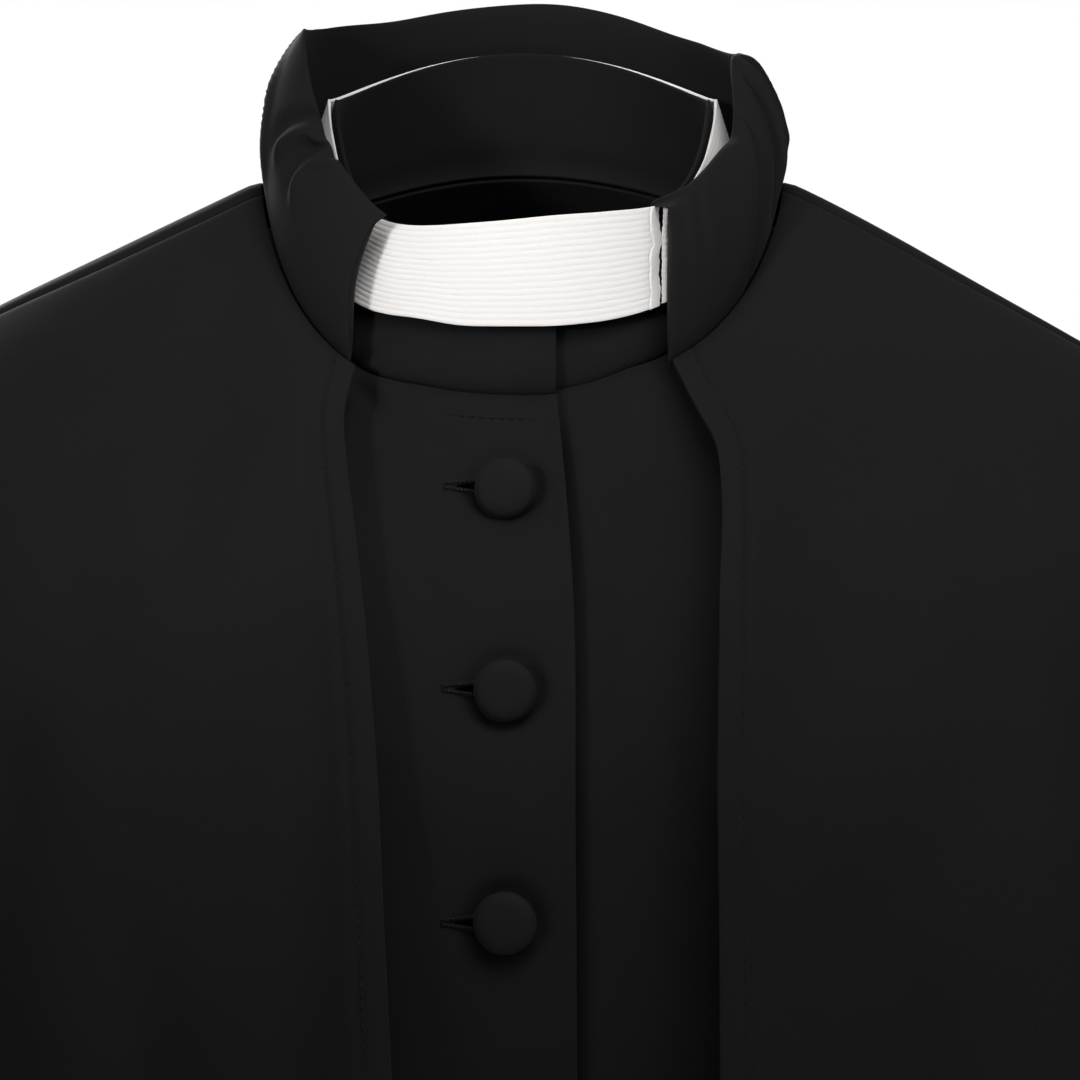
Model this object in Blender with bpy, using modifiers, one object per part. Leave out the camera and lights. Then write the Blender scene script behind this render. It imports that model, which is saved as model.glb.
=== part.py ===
"""A cassock with a shoulder cape, in the hollow form that it keeps when it is worn.

Metres, +Z up. The front faces -Y, and the wearer's left side is +X. The origin is the
middle of the neck base, level with the cape's neck seam at the sides of the neck.
"""

import math

import bmesh
import bpy
import numpy as np
from mathutils import Matrix, Vector

# Cloth. Every wall is measured inwards from the outer face that the tables below give.
WALL = 0.0015
SEAM_GAP = 0.0004
LAP_STEP = 0.0026
COLLAR_PAD = 0.0070
BAND_STANDOFF = 0.0024
BAND_WALL = 0.0013

# Places round the garment, in degrees from the centre front towards the wearer's left.
SIDE = 90.0
CAPE_SEAM = 84.0

# The cassock's rings, from the neck seam to the hem. A ring passes through a front point,
# two side points and a back point. "square" is 2 for an ellipse and more for a squarer
# ring, and "flat" is how far the ring stays low across the front before it rises.
# Columns: drop, front_y, side_x, side_z, back_y, back_z, square, flat.
BODY = (
    (0.0705, -0.0660, 0.0725, -0.0140, 0.0520, 0.0040, 2.0, 1.0),
    (0.1050, -0.0900, 0.1120, -0.0215, 0.0880, -0.0350, 2.0, 0.7),
    (0.1400, -0.1125, 0.1550, -0.0420, 0.1140, -0.0850, 2.1, 0.4),
    (0.1800, -0.1265, 0.1860, -0.0670, 0.1210, -0.1380, 2.2, 0.3),
    (0.2200, -0.1310, 0.1810, -0.1180, 0.1220, -0.1870, 2.3, 0.2),
    (0.2600, -0.1320, 0.1750, -0.1800, 0.1190, -0.2380, 2.4, 0.1),
    (0.3100, -0.1310, 0.1720, -0.2600, 0.1130, -0.2960, 2.4, 0.0),
    (0.3700, -0.1270, 0.1660, -0.3450, 0.1050, -0.3610, 2.4, 0.0),
    (0.4400, -0.1220, 0.1600, -0.4300, 0.1010, -0.4340, 2.4, 0.0),
    (0.6200, -0.1380, 0.1920, -0.6200, 0.1300, -0.6200, 2.3, 0.0),
    (0.9000, -0.1680, 0.2320, -0.9000, 0.1700, -0.9000, 2.2, 0.0),
    (1.1500, -0.1940, 0.2650, -1.1500, 0.2030, -1.1500, 2.2, 0.0),
    (1.3800, -0.2160, 0.2980, -1.3800, 0.2350, -1.3800, 2.2, 0.0),
)
NECK_TILT = 0.11

# The cape's rings, from its neck seam over the shoulders to its elbow-length hem.
CAPE = (
    (0.0690, -0.0770, 0.0840, 0.0000, 0.0620, 0.0180, 2.0, 1.0),
    (0.1050, -0.1000, 0.1300, -0.0220, 0.1000, -0.0300, 2.0, 0.7),
    (0.1500, -0.1270, 0.1750, -0.0440, 0.1280, -0.0900, 2.1, 0.4),
    (0.2000, -0.1420, 0.2180, -0.0690, 0.1400, -0.1500, 2.2, 0.2),
    (0.2500, -0.1490, 0.2580, -0.1060, 0.1470, -0.2100, 2.2, 0.1),
    (0.3000, -0.1530, 0.2920, -0.1760, 0.1520, -0.2750, 2.2, 0.0),
    (0.3600, -0.1570, 0.3160, -0.2900, 0.1590, -0.3500, 2.2, 0.0),
    (0.4200, -0.1600, 0.3280, -0.4100, 0.1660, -0.4300, 2.2, 0.0),
)
CAPE_NECK_TILT = 0.06
LEFT_SHOULDER_DROP = 0.006

# The depths at which the cloth's grid has a row, closer where the form turns faster.
BODY_ROWS = (
    0.0705, 0.0880, 0.105, 0.122, 0.140, 0.160, 0.180, 0.200, 0.220, 0.260, 0.310, 0.370,
    0.440, 0.530, 0.620, 0.760, 0.900, 1.070, 1.230, 1.380,
)
CAPE_ROWS = (0.069, 0.087, 0.105, 0.127, 0.150, 0.175, 0.200, 0.250, 0.300, 0.360, 0.420)

# The cape's front edges hang apart: how far out each one is, at each depth.
# Columns: drop, right_edge, left_edge, lift_right, lift_left.
CAPE_EDGE = (
    (0.0600, 0.0520, 0.0470, 0.0000, 0.0000),
    (0.0780, 0.0550, 0.0535, 0.0010, 0.0050),
    (0.0900, 0.0540, 0.0580, 0.0015, 0.0095),
    (0.1110, 0.0510, 0.0602, 0.0020, 0.0130),
    (0.1400, 0.0472, 0.0590, 0.0030, 0.0125),
    (0.1860, 0.0430, 0.0582, 0.0045, 0.0080),
    (0.2320, 0.0406, 0.0588, 0.0060, 0.0050),
    (0.2800, 0.0380, 0.0590, 0.0080, 0.0040),
    (0.4300, 0.0330, 0.0600, 0.0090, 0.0060),
)
LIFT_REACH = 0.030

# The right front laps over the left one, and this is where its edge runs, left of centre.
# Columns: drop, edge.
PLACKET = ((0.0700, 0.0108), (0.1000, 0.0135), (0.1330, 0.0158), (0.2000, 0.0163), (1.3800, 0.0165))
UNDERLAP = -0.0260

# Folds of the skirt and of the cape, each a soft ridge that grows down to the hem.
# Columns: angle, half_width, depth, top.
SKIRT_FOLDS = (
    (37.0, 12.0, 0.020, 0.62),
    (76.0, 13.5, 0.026, 0.54),
    (116.0, 13.0, 0.030, 0.50),
    (155.0, 12.0, 0.026, 0.46),
    (193.0, 13.0, 0.031, 0.45),
    (235.0, 13.5, 0.027, 0.50),
    (280.0, 13.0, 0.025, 0.55),
    (321.0, 12.5, 0.022, 0.60),
)
CAPE_FOLDS = (
    (48.0, 8.0, 0.007, 0.20),
    (84.0, 9.0, 0.009, 0.19),
    (124.0, 9.0, 0.013, 0.17),
    (158.0, 8.0, 0.012, 0.14),
    (190.0, 8.5, 0.014, 0.14),
    (226.0, 9.0, 0.012, 0.17),
    (272.0, 9.0, 0.009, 0.19),
    (318.0, 9.0, 0.008, 0.16),
)

# The stand collar and the padded collar of the cape, from their seams to their top edges.
# Columns: height, front_y, front_z, side_x, side_z, back_y, back_z, rise.
STAND_COLLAR = (
    (0.0, -0.0660, -0.0705, 0.0725, -0.0140, 0.0520, 0.0040, 3.0),
    (1.0, -0.0580, -0.0165, 0.0600, 0.0260, 0.0460, 0.0440, 6.0),
)
STAND_COLLAR_LAP = 0.0107
STAND_COLLAR_UNDERLAP = -0.0150
BAND_LOW = 0.367
BAND_HIGH = 1.0
BAND_END = 0.0424
CAPE_COLLAR = (
    (0.0, -0.0770, -0.0690, 0.0840, 0.0000, 0.0620, 0.0180, 3.0),
    (0.5, -0.0735, -0.0425, 0.0828, 0.0210, 0.0610, 0.0400, 3.0),
    (1.0, -0.0680, -0.0190, 0.0765, 0.0430, 0.0570, 0.0600, 3.0),
)
CAPE_COLLAR_RIGHT_END = -0.0535
CAPE_COLLAR_LEFT_END = 0.0475
CAPE_COLLAR_LEFT_LOW = 0.08

# The neck seam and the white band's lower edge rise and dip a little on their way across.
# Columns: x, seam, top.
NECK_SHAPE_REACH = 0.022
NECK_SHAPE = (
    (-0.066, 0.0000, 0.0000),
    (-0.052, -0.0002, 0.0000),
    (-0.042, 0.0022, 0.0002),
    (-0.033, 0.0038, 0.0004),
    (-0.020, 0.0030, 0.0007),
    (-0.006, 0.0012, 0.0010),
    (0.011, -0.0002, 0.0018),
    (0.021, 0.0014, 0.0021),
    (0.033, 0.0026, 0.0024),
    (0.046, 0.0006, 0.0016),
    (0.062, 0.0000, 0.0000),
)
# Columns: x, rise.
BAND_EDGE = (
    (-0.066, 0.0000),
    (-0.050, 0.0030),
    (-0.037, 0.0037),
    (-0.017, 0.0016),
    (-0.006, 0.0012),
    (0.011, 0.0006),
    (0.030, 0.0002),
    (0.045, 0.0006),
    (0.062, 0.0000),
)

# The armhole is an ellipse seen from the side, and the sleeve runs from it to the cuff.
ARMHOLE_Z = -0.139
ARMHOLE_HALF_HEIGHT = 0.061
ARMHOLE_HALF_DEPTH = 0.058
# Columns: step, outer_x, outer_z, inner_x, inner_z, middle_y, half_depth.
SLEEVE = (
    (1, 0.2320, -0.0960, 0.1800, -0.2045, 0.0000, 0.0595),
    (2, 0.2590, -0.1320, 0.1825, -0.2140, 0.0000, 0.0600),
    (3, 0.2780, -0.1900, 0.1840, -0.2320, 0.0000, 0.0585),
    (4, 0.2870, -0.2700, 0.1850, -0.2800, -0.0020, 0.0560),
    (5, 0.2920, -0.3400, 0.1885, -0.3430, -0.0040, 0.0535),
    (6, 0.2970, -0.4200, 0.1960, -0.4150, -0.0100, 0.0515),
    (7, 0.3000, -0.5200, 0.2080, -0.5120, -0.0220, 0.0490),
    (8, 0.3030, -0.6320, 0.2160, -0.6220, -0.0380, 0.0460),
)

# Covered buttons down the centre front, an equal way apart along the cloth.
BUTTON_COUNT = 17
BUTTON_FIRST_DROP = 0.1001
BUTTON_PITCH = 0.0705
BUTTON_X = -0.0048
BUTTON_RADIUS = 0.0095
BUTTON_HEIGHT = 0.0052
BUTTON_STANDOFF = 0.0011

BLACK_CLOTH = (0.0105, 0.0105, 0.0112, 1.0)
WHITE_LINEN = (0.80, 0.78, 0.76, 1.0)

for old in list(bpy.data.objects):
    bpy.data.objects.remove(old, do_unlink=True)


def read_table(rows, at):
    """The later columns of a table where its first column is "at", on a smooth curve."""
    table = np.array(rows, float)
    key = table[:, 0]
    value = table[:, 1:]
    step = np.diff(key)
    rise = np.diff(value, axis=0) / step[:, None]
    between = rise[:-1] * step[1:, None] + rise[1:] * step[:-1, None]
    slope = np.vstack([rise[:1], between / (step[:-1] + step[1:])[:, None], rise[-1:]])
    at = np.clip(at, key[0], key[-1])
    row = np.clip(np.searchsorted(key, at, side="right") - 1, 0, len(step) - 1)
    width = step[row][..., None]
    f = ((at - key[row]) / step[row])[..., None]
    shape = value[row] * (2 * f**3 - 3 * f**2 + 1) + value[row + 1] * (3 * f**2 - 2 * f**3)
    shape += slope[row] * width * (f**3 - 2 * f**2 + f) + slope[row + 1] * width * (f**3 - f**2)
    return np.moveaxis(shape, -1, 0)


def soft_step(value):
    value = np.clip(value, 0.0, 1.0)
    return value * value * (3 - 2 * value)


def ring(angle, front_y, side_x, back_y, square):
    """x, y and the share of the half-width reached, round a ring open at neither side."""
    across = np.sin(angle)
    along = np.cos(angle)
    radius = (np.abs(across) ** square + np.abs(along) ** square) ** (-1.0 / square)
    reach = radius * across
    depth = np.where(along > 0, front_y, -back_y)
    return side_x * reach, depth * radius * along, np.clip(np.abs(reach), 0, 1)


def low_share(reach, rise):
    """How far a ring has dropped from its side towards its front: 1 at the front, 0 at the side.

    It stays near 1 across the front for a higher rise, and meets the side smoothly.
    """
    ease = 0.03
    return ((1 - reach**rise + ease) ** 0.53 - ease**0.53) / ((1 + ease) ** 0.53 - ease**0.53)


def folds(rows, angle, drop, hem):
    """How far the folds of a table stand out at each place."""
    turn = np.degrees(angle) % 360
    out = np.zeros_like(turn)
    for at, half_width, depth, top in rows:
        away = (turn - at + 180) % 360 - 180
        out += depth * soft_step((drop - top) / (hem - top)) * np.exp(-((away / half_width) ** 2))
    return out


def draped(rows, fold_rows, angle, drop, tilt):
    """A point of the cassock or the cape. Folds stand out level, so the hem stays level."""
    front_y, side_x, side_z, back_y, back_z, square, flat = read_table(rows, drop)
    x, y, reach = ring(angle, front_y, side_x, back_y, square)
    out_x = x / side_x**2
    out_y = y / np.where(np.cos(angle) > 0, front_y, back_y) ** 2
    out = folds(fold_rows, angle, drop, rows[-1][0]) * soft_step((np.abs(x) - 0.030) / 0.040)
    out = out / np.hypot(out_x, out_y)
    x = x + out * out_x
    y = y + out * out_y
    low_front = flat * low_share(reach, 3) + (1 - flat) * (1 - reach**2)
    front = side_z + (-drop - side_z) * low_front
    back = side_z + (back_z - side_z) * (1 - reach**2)
    z = np.where(np.cos(angle) > 0, front, back)
    z = z + tilt * flat * x * np.clip(np.cos(angle), 0, 1)
    z = z - LEFT_SHOULDER_DROP * soft_step((x - 0.09) / 0.10) * soft_step((0.60 - drop) / 0.30)
    return np.stack([x, y, z], -1)


def raised(surface, angle, drop, out):
    """A point moved out from a surface along its own normal."""
    small = 1e-4
    here = surface(angle, drop)
    round_way = surface(angle + small, drop) - surface(angle - small, drop)
    up_way = surface(angle, drop - small) - surface(angle, drop + small)
    normal = np.cross(round_way, up_way)
    normal /= np.linalg.norm(normal, axis=-1, keepdims=True)
    return here + normal * np.asarray(out)[..., None]


def cassock(angle, drop):
    """The cassock's surface. Its neckline is a shallow uneven V, lowest where the fronts lap."""
    point = draped(BODY, SKIRT_FOLDS, angle, drop, NECK_TILT)
    ahead = np.clip(np.cos(angle) * 4, 0, 1)
    near_neck = np.exp(-(((drop - BODY[0][0]) / NECK_SHAPE_REACH) ** 2)) * ahead
    point[..., 2] += read_table(NECK_SHAPE, point[..., 0])[0] * near_neck
    return point


def cape(angle, drop):
    return draped(CAPE, CAPE_FOLDS, angle, drop, CAPE_NECK_TILT)


def angle_at(surface, drop, reach_of, side):
    """The angle where a surface is as far out as reach_of says for its own depth."""
    near = np.zeros_like(drop)
    far = np.full_like(drop, math.radians(80))
    for _ in range(40):
        middle = (near + far) / 2
        point = surface(side * middle, drop)
        inside = side * point[..., 0] < reach_of(-point[..., 2])
        near = np.where(inside, middle, near)
        far = np.where(inside, far, middle)
    return side * (near + far) / 2


def angle_of_x(surface, drop, x):
    """The angle near the centre front where a surface has this x."""
    side = np.sign(x)
    low = np.zeros_like(drop)
    high = np.full_like(drop, math.radians(80))
    for _ in range(40):
        middle = (low + high) / 2
        inside = surface(side * middle, drop)[..., 0] * side < np.abs(x)
        low = np.where(inside, middle, low)
        high = np.where(inside, high, middle)
    return side * (low + high) / 2


def trimmed(surface, angle, drop, way):
    """A seam's angle, drawn back by half of the gap between two pieces."""
    speed = np.linalg.norm(surface(angle + 1e-4, drop) - surface(angle - 1e-4, drop), axis=-1) / 2e-4
    return angle + way * 0.5 * SEAM_GAP / speed


def row_drop(drops, upward):
    """The depth of a grid's row: a grid's v runs upwards, so its first row is the hem."""
    return np.interp((1 - upward) * (len(drops) - 1), np.arange(len(drops)), drops)


def new_material(name, colour, roughness):
    material = bpy.data.materials.new(name)
    material.use_nodes = True
    shader = material.node_tree.nodes["Principled BSDF"]
    shader.inputs["Base Color"].default_value = colour
    shader.inputs["Roughness"].default_value = roughness
    shader.inputs["Metallic"].default_value = 0.0
    return material


garment = bpy.data.collections.new("cassock")
cutters = bpy.data.collections.new("cutters")
bpy.context.scene.collection.children.link(garment)
bpy.context.scene.collection.children.link(cutters)
cutters.hide_render = True

carrier = bpy.data.objects.new("wearer_shoulders", None)
garment.objects.link(carrier)


def add_object(name, bm, material, collection=garment):
    mesh = bpy.data.meshes.new(name)
    bm.to_mesh(mesh)
    bm.free()
    piece = bpy.data.objects.new(name, mesh)
    collection.objects.link(piece)
    mesh.materials.append(material)
    if collection is garment:
        piece.parent = carrier
    return piece


def cloth_piece(name, columns, rows, place, material, wall=WALL):
    """A piece of cloth: a flat grid, doubled into two faces a wall apart, and put in place.

    place(u, v, depth) gives points for arrays that run from 0 to 1 across and up the
    piece, "depth" below its outer face.
    """
    bm = bmesh.new()
    bmesh.ops.create_grid(bm, x_segments=columns, y_segments=rows, size=0.5)
    flat = bm.verts.layers.float_vector.new("flat")
    for vert in bm.verts:
        vert[flat] = vert.co + Vector((0.5, 0.5, 0.0))
    outer = list(bm.verts)
    doubled = bmesh.ops.extrude_face_region(bm, geom=bm.faces[:], use_keep_orig=True)
    inner = [item for item in doubled["geom"] if isinstance(item, bmesh.types.BMVert)]
    for verts, depth in ((outer, 0.0), (inner, wall)):
        places = np.array([vert[flat] for vert in verts])
        points = place(places[:, 0], places[:, 1], depth)
        for vert, point in zip(verts, points):
            vert.co = point
    bmesh.ops.recalc_face_normals(bm, faces=bm.faces[:])
    piece = add_object(name, bm, material)
    piece.data.shade_smooth()
    piece.data.set_sharp_from_angle(angle=math.radians(50))
    return piece


# Cassock: two fronts and a back, each cut from the neck to the hem in one.
def placket_edge(drop):
    return read_table(PLACKET, drop)[0]


def front_right_place(u, v, depth):
    drop = row_drop(BODY_ROWS, v)
    seam = trimmed(cassock, np.full_like(drop, -math.radians(SIDE)), drop, 1)
    edge = angle_of_x(cassock, drop, placket_edge(drop))
    return raised(cassock, seam + (edge - seam) * (1 - (1 - u) ** 1.25), drop, -depth)


def front_left_place(u, v, depth):
    drop = row_drop(BODY_ROWS, v)
    seam = trimmed(cassock, np.full_like(drop, math.radians(SIDE)), drop, -1)
    edge = angle_of_x(cassock, drop, np.full_like(drop, UNDERLAP))
    angle = edge + (seam - edge) * u**1.25
    x = cassock(angle, drop)[..., 0]
    under = LAP_STEP * (1 - soft_step((x - 0.024) / 0.036))
    return raised(cassock, angle, drop, -depth - under)


def back_place(u, v, depth):
    drop = row_drop(BODY_ROWS, v)
    start = trimmed(cassock, np.full_like(drop, math.radians(SIDE)), drop, 1)
    end = trimmed(cassock, np.full_like(drop, math.radians(360 - SIDE)), drop, -1)
    return raised(cassock, start + (end - start) * u, drop, -depth)


def solve_side(y, z, side):
    """The angle and drop where the cassock's side has this y and z."""
    angle = np.full_like(y, side * math.radians(90))
    drop = np.full_like(y, 0.21)
    small = 1e-4
    for _ in range(30):
        here = cassock(angle, drop)
        by_angle = (cassock(angle + small, drop) - here) / small
        by_drop = (cassock(angle, drop + small) - here) / small
        miss_y = y - here[..., 1]
        miss_z = z - here[..., 2]
        area = by_angle[..., 1] * by_drop[..., 2] - by_angle[..., 2] * by_drop[..., 1]
        angle = angle + 0.6 * (miss_y * by_drop[..., 2] - miss_z * by_drop[..., 1]) / area
        drop = drop + 0.6 * (by_angle[..., 1] * miss_z - by_angle[..., 2] * miss_y) / area
        drop = np.clip(drop, 0.10, 0.34)
    return angle, drop


def sleeve_place(side):
    """Where a sleeve's points go: round the arm with u, and from the cuff to the armhole with v."""
    keys = np.array([0.0] + [row[0] for row in SLEEVE])

    def place(u, v, depth):
        turn = side * 2 * math.pi * u
        step = (1 - v) * keys[-1]
        hole_y = (ARMHOLE_HALF_DEPTH - 0.0006 - depth) * np.sin(turn)
        hole_z = ARMHOLE_Z + (ARMHOLE_HALF_HEIGHT - 0.0006 - depth) * np.cos(turn)
        hole = cassock(*solve_side(hole_y, hole_z, side))
        hole[..., 1] = hole_y
        hole[..., 2] = hole_z
        outer_x, outer_z, inner_x, inner_z, middle_y, half_depth = read_table(SLEEVE, step)
        half_x = (outer_x - inner_x) / 2
        half_z = (outer_z - inner_z) / 2
        across = np.hypot(half_x, half_z)
        thinner = (across - depth) / across
        x = (outer_x + inner_x) / 2 + half_x * thinner * np.cos(turn)
        z = (outer_z + inner_z) / 2 + half_z * thinner * np.cos(turn)
        y = middle_y + (half_depth - depth) * np.sin(turn)
        tube = np.stack([side * x, y, z], -1)
        near = np.clip(step, 0, 1)[..., None]
        return hole * (1 - near) + tube * near

    return place


def sleeve_piece(name, side, columns, rows, material):
    """A sleeve: a sheet rolled round until its two long edges meet at the seam."""
    piece = cloth_piece(name, columns, rows, sleeve_place(side), material)
    bm = bmesh.new()
    bm.from_mesh(piece.data)
    flat = bm.verts.layers.float_vector["flat"]
    seam_faces = [
        face for face in bm.faces
        if all(vert[flat].x < 1e-6 for vert in face.verts)
        or all(vert[flat].x > 1 - 1e-6 for vert in face.verts)
    ]
    bmesh.ops.delete(bm, geom=seam_faces, context="FACES")
    bmesh.ops.remove_doubles(bm, verts=bm.verts[:], dist=1e-6)
    bmesh.ops.recalc_face_normals(bm, faces=bm.faces[:])
    bm.to_mesh(piece.data)
    bm.free()
    return piece


black = {}
for part_name in (
    "front_right", "front_left", "back", "sleeve_right", "sleeve_left", "stand_collar",
    "cape_front_right", "cape_front_left", "cape_back", "cape_collar", "button",
):
    black[part_name] = new_material("black_" + part_name, BLACK_CLOTH, 0.82)
white = new_material("white_ribbed_band", WHITE_LINEN, 0.75)

body_rows = len(BODY_ROWS) - 1
front_right = cloth_piece("front_right", 13, body_rows, front_right_place, black["front_right"])
front_left = cloth_piece("front_left", 13, body_rows, front_left_place, black["front_left"])
back = cloth_piece("back", 26, body_rows, back_place, black["back"])
cuttings = new_material("cutter", (0.5, 0.5, 0.5, 1.0), 0.5)
for hole_side, hole_name in ((-1, "armhole_right"), (1, "armhole_left")):
    bm = bmesh.new()
    bmesh.ops.create_cone(bm, cap_ends=True, segments=28, radius1=1, radius2=1, depth=0.14)
    to_side = Matrix.Rotation(math.pi / 2, 4, "Y")
    to_size = Matrix.Diagonal((1, ARMHOLE_HALF_DEPTH, ARMHOLE_HALF_HEIGHT, 1))
    to_place = Matrix.Translation((hole_side * 0.19, 0, ARMHOLE_Z))
    bmesh.ops.transform(bm, matrix=to_place @ to_size @ to_side, verts=bm.verts)
    cutter = add_object(hole_name, bm, cuttings, cutters)
    cutter.hide_render = True
    cutter.display_type = "WIRE"
    for panel in (back, front_right if hole_side < 0 else front_left):
        cut = panel.modifiers.new(hole_name, "BOOLEAN")
        cut.operation = "DIFFERENCE"
        cut.solver = "EXACT"
        cut.object = cutter
sleeve_piece("sleeve_right", -1, 14, 9, black["sleeve_right"])
sleeve_piece("sleeve_left", 1, 14, 9, black["sleeve_left"])


# Collars: each is a strip that stands on a neck seam and runs round the neck.
def collar_point(table, tilt, angle, height, out):
    """A point of a standing collar, "out" of its outer face along the ring's own normal."""
    front_y, front_z, side_x, side_z, back_y, back_z, rise = read_table(table, height)
    x, y, reach = ring(angle, front_y, side_x, back_y, 2.0)
    front = side_z + (front_z - side_z) * low_share(reach, rise)
    back_part = side_z + (back_z - side_z) * (1 - reach**2)
    z = np.where(np.cos(angle) > 0, front, back_part)
    z = z + tilt * x * np.clip(np.cos(angle), 0, 1)
    depth = np.where(np.cos(angle) > 0, front_y, back_y)
    normal = np.stack([x / side_x**2, y / depth**2, np.zeros_like(x)], -1)
    normal /= np.linalg.norm(normal, axis=-1, keepdims=True)
    return np.stack([x, y, z], -1) + normal * np.asarray(out)[..., None]


def collar_angle(table, height, x):
    """The angle at the front where a collar has this x, given a height."""
    side_x = read_table(table, height)[2]
    return np.arcsin(x / side_x)


def stand_collar_point(angle, height, out):
    """A point of the stand collar, whose lower edge follows the neckline."""
    tilt = NECK_TILT * (1 - height) + 0.055 * height
    point = collar_point(STAND_COLLAR, tilt, angle, height, out)
    seam, top = read_table(NECK_SHAPE, point[..., 0]) * np.clip(np.cos(angle) * 4, 0, 1)
    point[..., 2] += seam * (1 - height) ** 1.5 + top * height
    return point


def stand_collar_place(u, v, depth):
    height = 0.010 + v * 0.990
    start = collar_angle(STAND_COLLAR, height, STAND_COLLAR_UNDERLAP)
    end = 2 * math.pi + collar_angle(STAND_COLLAR, height, STAND_COLLAR_LAP)
    angle = start + (end - start) * u
    under = LAP_STEP * (1 - soft_step((angle - 0.25) / 0.65))
    return stand_collar_point(angle, height, -depth - under)


def band_place(u, v, depth):
    """The white band lies on the stand collar all round, and its end is at the left front."""
    height = BAND_LOW + (BAND_HIGH - BAND_LOW) * v
    start = collar_angle(STAND_COLLAR, height, BAND_END + 0.0005)
    end = 2 * math.pi + collar_angle(STAND_COLLAR, height, BAND_END)
    angle = start + (end - start) * u
    point = stand_collar_point(angle, height, BAND_STANDOFF - depth)
    ahead = np.clip(np.cos(angle) * 4, 0, 1)
    point[..., 2] += read_table(BAND_EDGE, point[..., 0])[0] * (1 - v) * ahead
    return point


def cape_collar_place(u, v, depth):
    height = 0.012 + v * 0.988
    lean = 0.0095 * height
    start = collar_angle(CAPE_COLLAR, height, CAPE_COLLAR_LEFT_END - 0.6 * lean)
    end = 2 * math.pi + collar_angle(CAPE_COLLAR, height, CAPE_COLLAR_RIGHT_END + lean)
    angle = start + (end - start) * u
    point = collar_point(CAPE_COLLAR, CAPE_NECK_TILT, angle, height, -depth)
    point[..., 2] -= CAPE_COLLAR_LEFT_LOW * height * point[..., 0] * np.sin(angle) ** 2
    return point


cloth_piece("stand_collar", 48, 2, stand_collar_place, black["stand_collar"])
cloth_piece("clerical_band", 48, 2, band_place, white, BAND_WALL)
padded_collar = cloth_piece("cape_collar", 36, 3, cape_collar_place, black["cape_collar"], COLLAR_PAD)
roll = padded_collar.modifiers.new("rolled_edges", "BEVEL")
roll.limit_method = "ANGLE"
roll.angle_limit = math.radians(60)
roll.width = 0.0022
roll.segments = 1


# Cape: two fronts that hang open and a back, joined over the shoulders and down the arms.
def cape_front_place(side):
    edge_column = 0 if side < 0 else 1
    lift_column = 2 if side < 0 else 3

    def place(u, v, depth):
        drop = row_drop(CAPE_ROWS, v)
        seam = trimmed(cape, np.full_like(drop, side * math.radians(CAPE_SEAM)), drop, -side)
        edge = angle_at(cape, drop, lambda down: read_table(CAPE_EDGE, down)[edge_column], side)
        share = u if side > 0 else 1 - u
        angle = edge + (seam - edge) * share**1.3
        point = cape(angle, drop)
        edge_point = cape(edge, drop)
        away = np.linalg.norm(point - edge_point, axis=-1)
        lift = read_table(CAPE_EDGE, -edge_point[..., 2])[lift_column]
        return raised(cape, angle, drop, lift * np.exp(-((away / LIFT_REACH) ** 2)) - depth)

    return place


def cape_back_place(u, v, depth):
    drop = row_drop(CAPE_ROWS, v)
    start = trimmed(cape, np.full_like(drop, math.radians(CAPE_SEAM)), drop, 1)
    end = trimmed(cape, np.full_like(drop, math.radians(360 - CAPE_SEAM)), drop, -1)
    return raised(cape, start + (end - start) * u, drop, -depth)


cape_rows = len(CAPE_ROWS) - 1
cloth_piece("cape_front_right", 11, cape_rows, cape_front_place(-1), black["cape_front_right"])
cloth_piece("cape_front_left", 11, cape_rows, cape_front_place(1), black["cape_front_left"])
cloth_piece("cape_back", 22, cape_rows, cape_back_place, black["cape_back"])


# Buttons: a dome covered with the cassock's cloth, turned on its own axis.
def button_shape():
    profile = (
        (BUTTON_RADIUS * 0.55, 0.0),
        (BUTTON_RADIUS * 0.96, 0.0007),
        (BUTTON_RADIUS, 0.0017),
        (BUTTON_RADIUS * 0.88, 0.0036),
        (BUTTON_RADIUS * 0.50, 0.0049),
    )
    bm = bmesh.new()
    foot = bm.verts.new((0, 0, 0))
    verts = [foot] + [bm.verts.new((radius, 0, height)) for radius, height in profile]
    verts.append(bm.verts.new((0, 0, BUTTON_HEIGHT)))
    edges = [bm.edges.new(pair) for pair in zip(verts, verts[1:])]
    bmesh.ops.spin(
        bm, geom=verts + edges, cent=(0, 0, 0), axis=(0, 0, 1), angle=2 * math.pi, steps=12, use_merge=True
    )
    bmesh.ops.remove_doubles(bm, verts=bm.verts[:], dist=1e-6)
    bmesh.ops.recalc_face_normals(bm, faces=bm.faces[:])
    mesh = bpy.data.meshes.new("button")
    bm.to_mesh(mesh)
    bm.free()
    mesh.materials.append(black["button"])
    mesh.shade_smooth()
    return mesh


button_mesh = button_shape()
front_line = np.linspace(BUTTON_FIRST_DROP, BODY[-1][0], 2000)
line_angle = angle_of_x(cassock, front_line, np.full_like(front_line, BUTTON_X))
line_points = cassock(line_angle, front_line)
line_length = np.concatenate([[0], np.cumsum(np.linalg.norm(np.diff(line_points, axis=0), axis=1))])
for number in range(BUTTON_COUNT):
    drop = np.interp(number * BUTTON_PITCH, line_length, front_line)
    drop = np.array([drop])
    angle = angle_of_x(cassock, drop, np.array([BUTTON_X]))
    seat = raised(cassock, angle, drop, np.array([BUTTON_STANDOFF]))[0]
    outward = Vector(raised(cassock, angle, drop, np.array([1.0]))[0] - cassock(angle, drop)[0])
    button = bpy.data.objects.new(f"button_{number + 1:02d}", button_mesh)
    garment.objects.link(button)
    button.location = seat
    button.rotation_mode = "QUATERNION"
    button.rotation_quaternion = outward.to_track_quat("Z", "Y")
    button.parent = carrier
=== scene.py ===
"""A black cassock with an open shoulder cape, in the hollow form that it keeps when worn.

Metres, +Z up. The front faces -Y, and the wearer's left side is +X.
"""

import math

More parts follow.
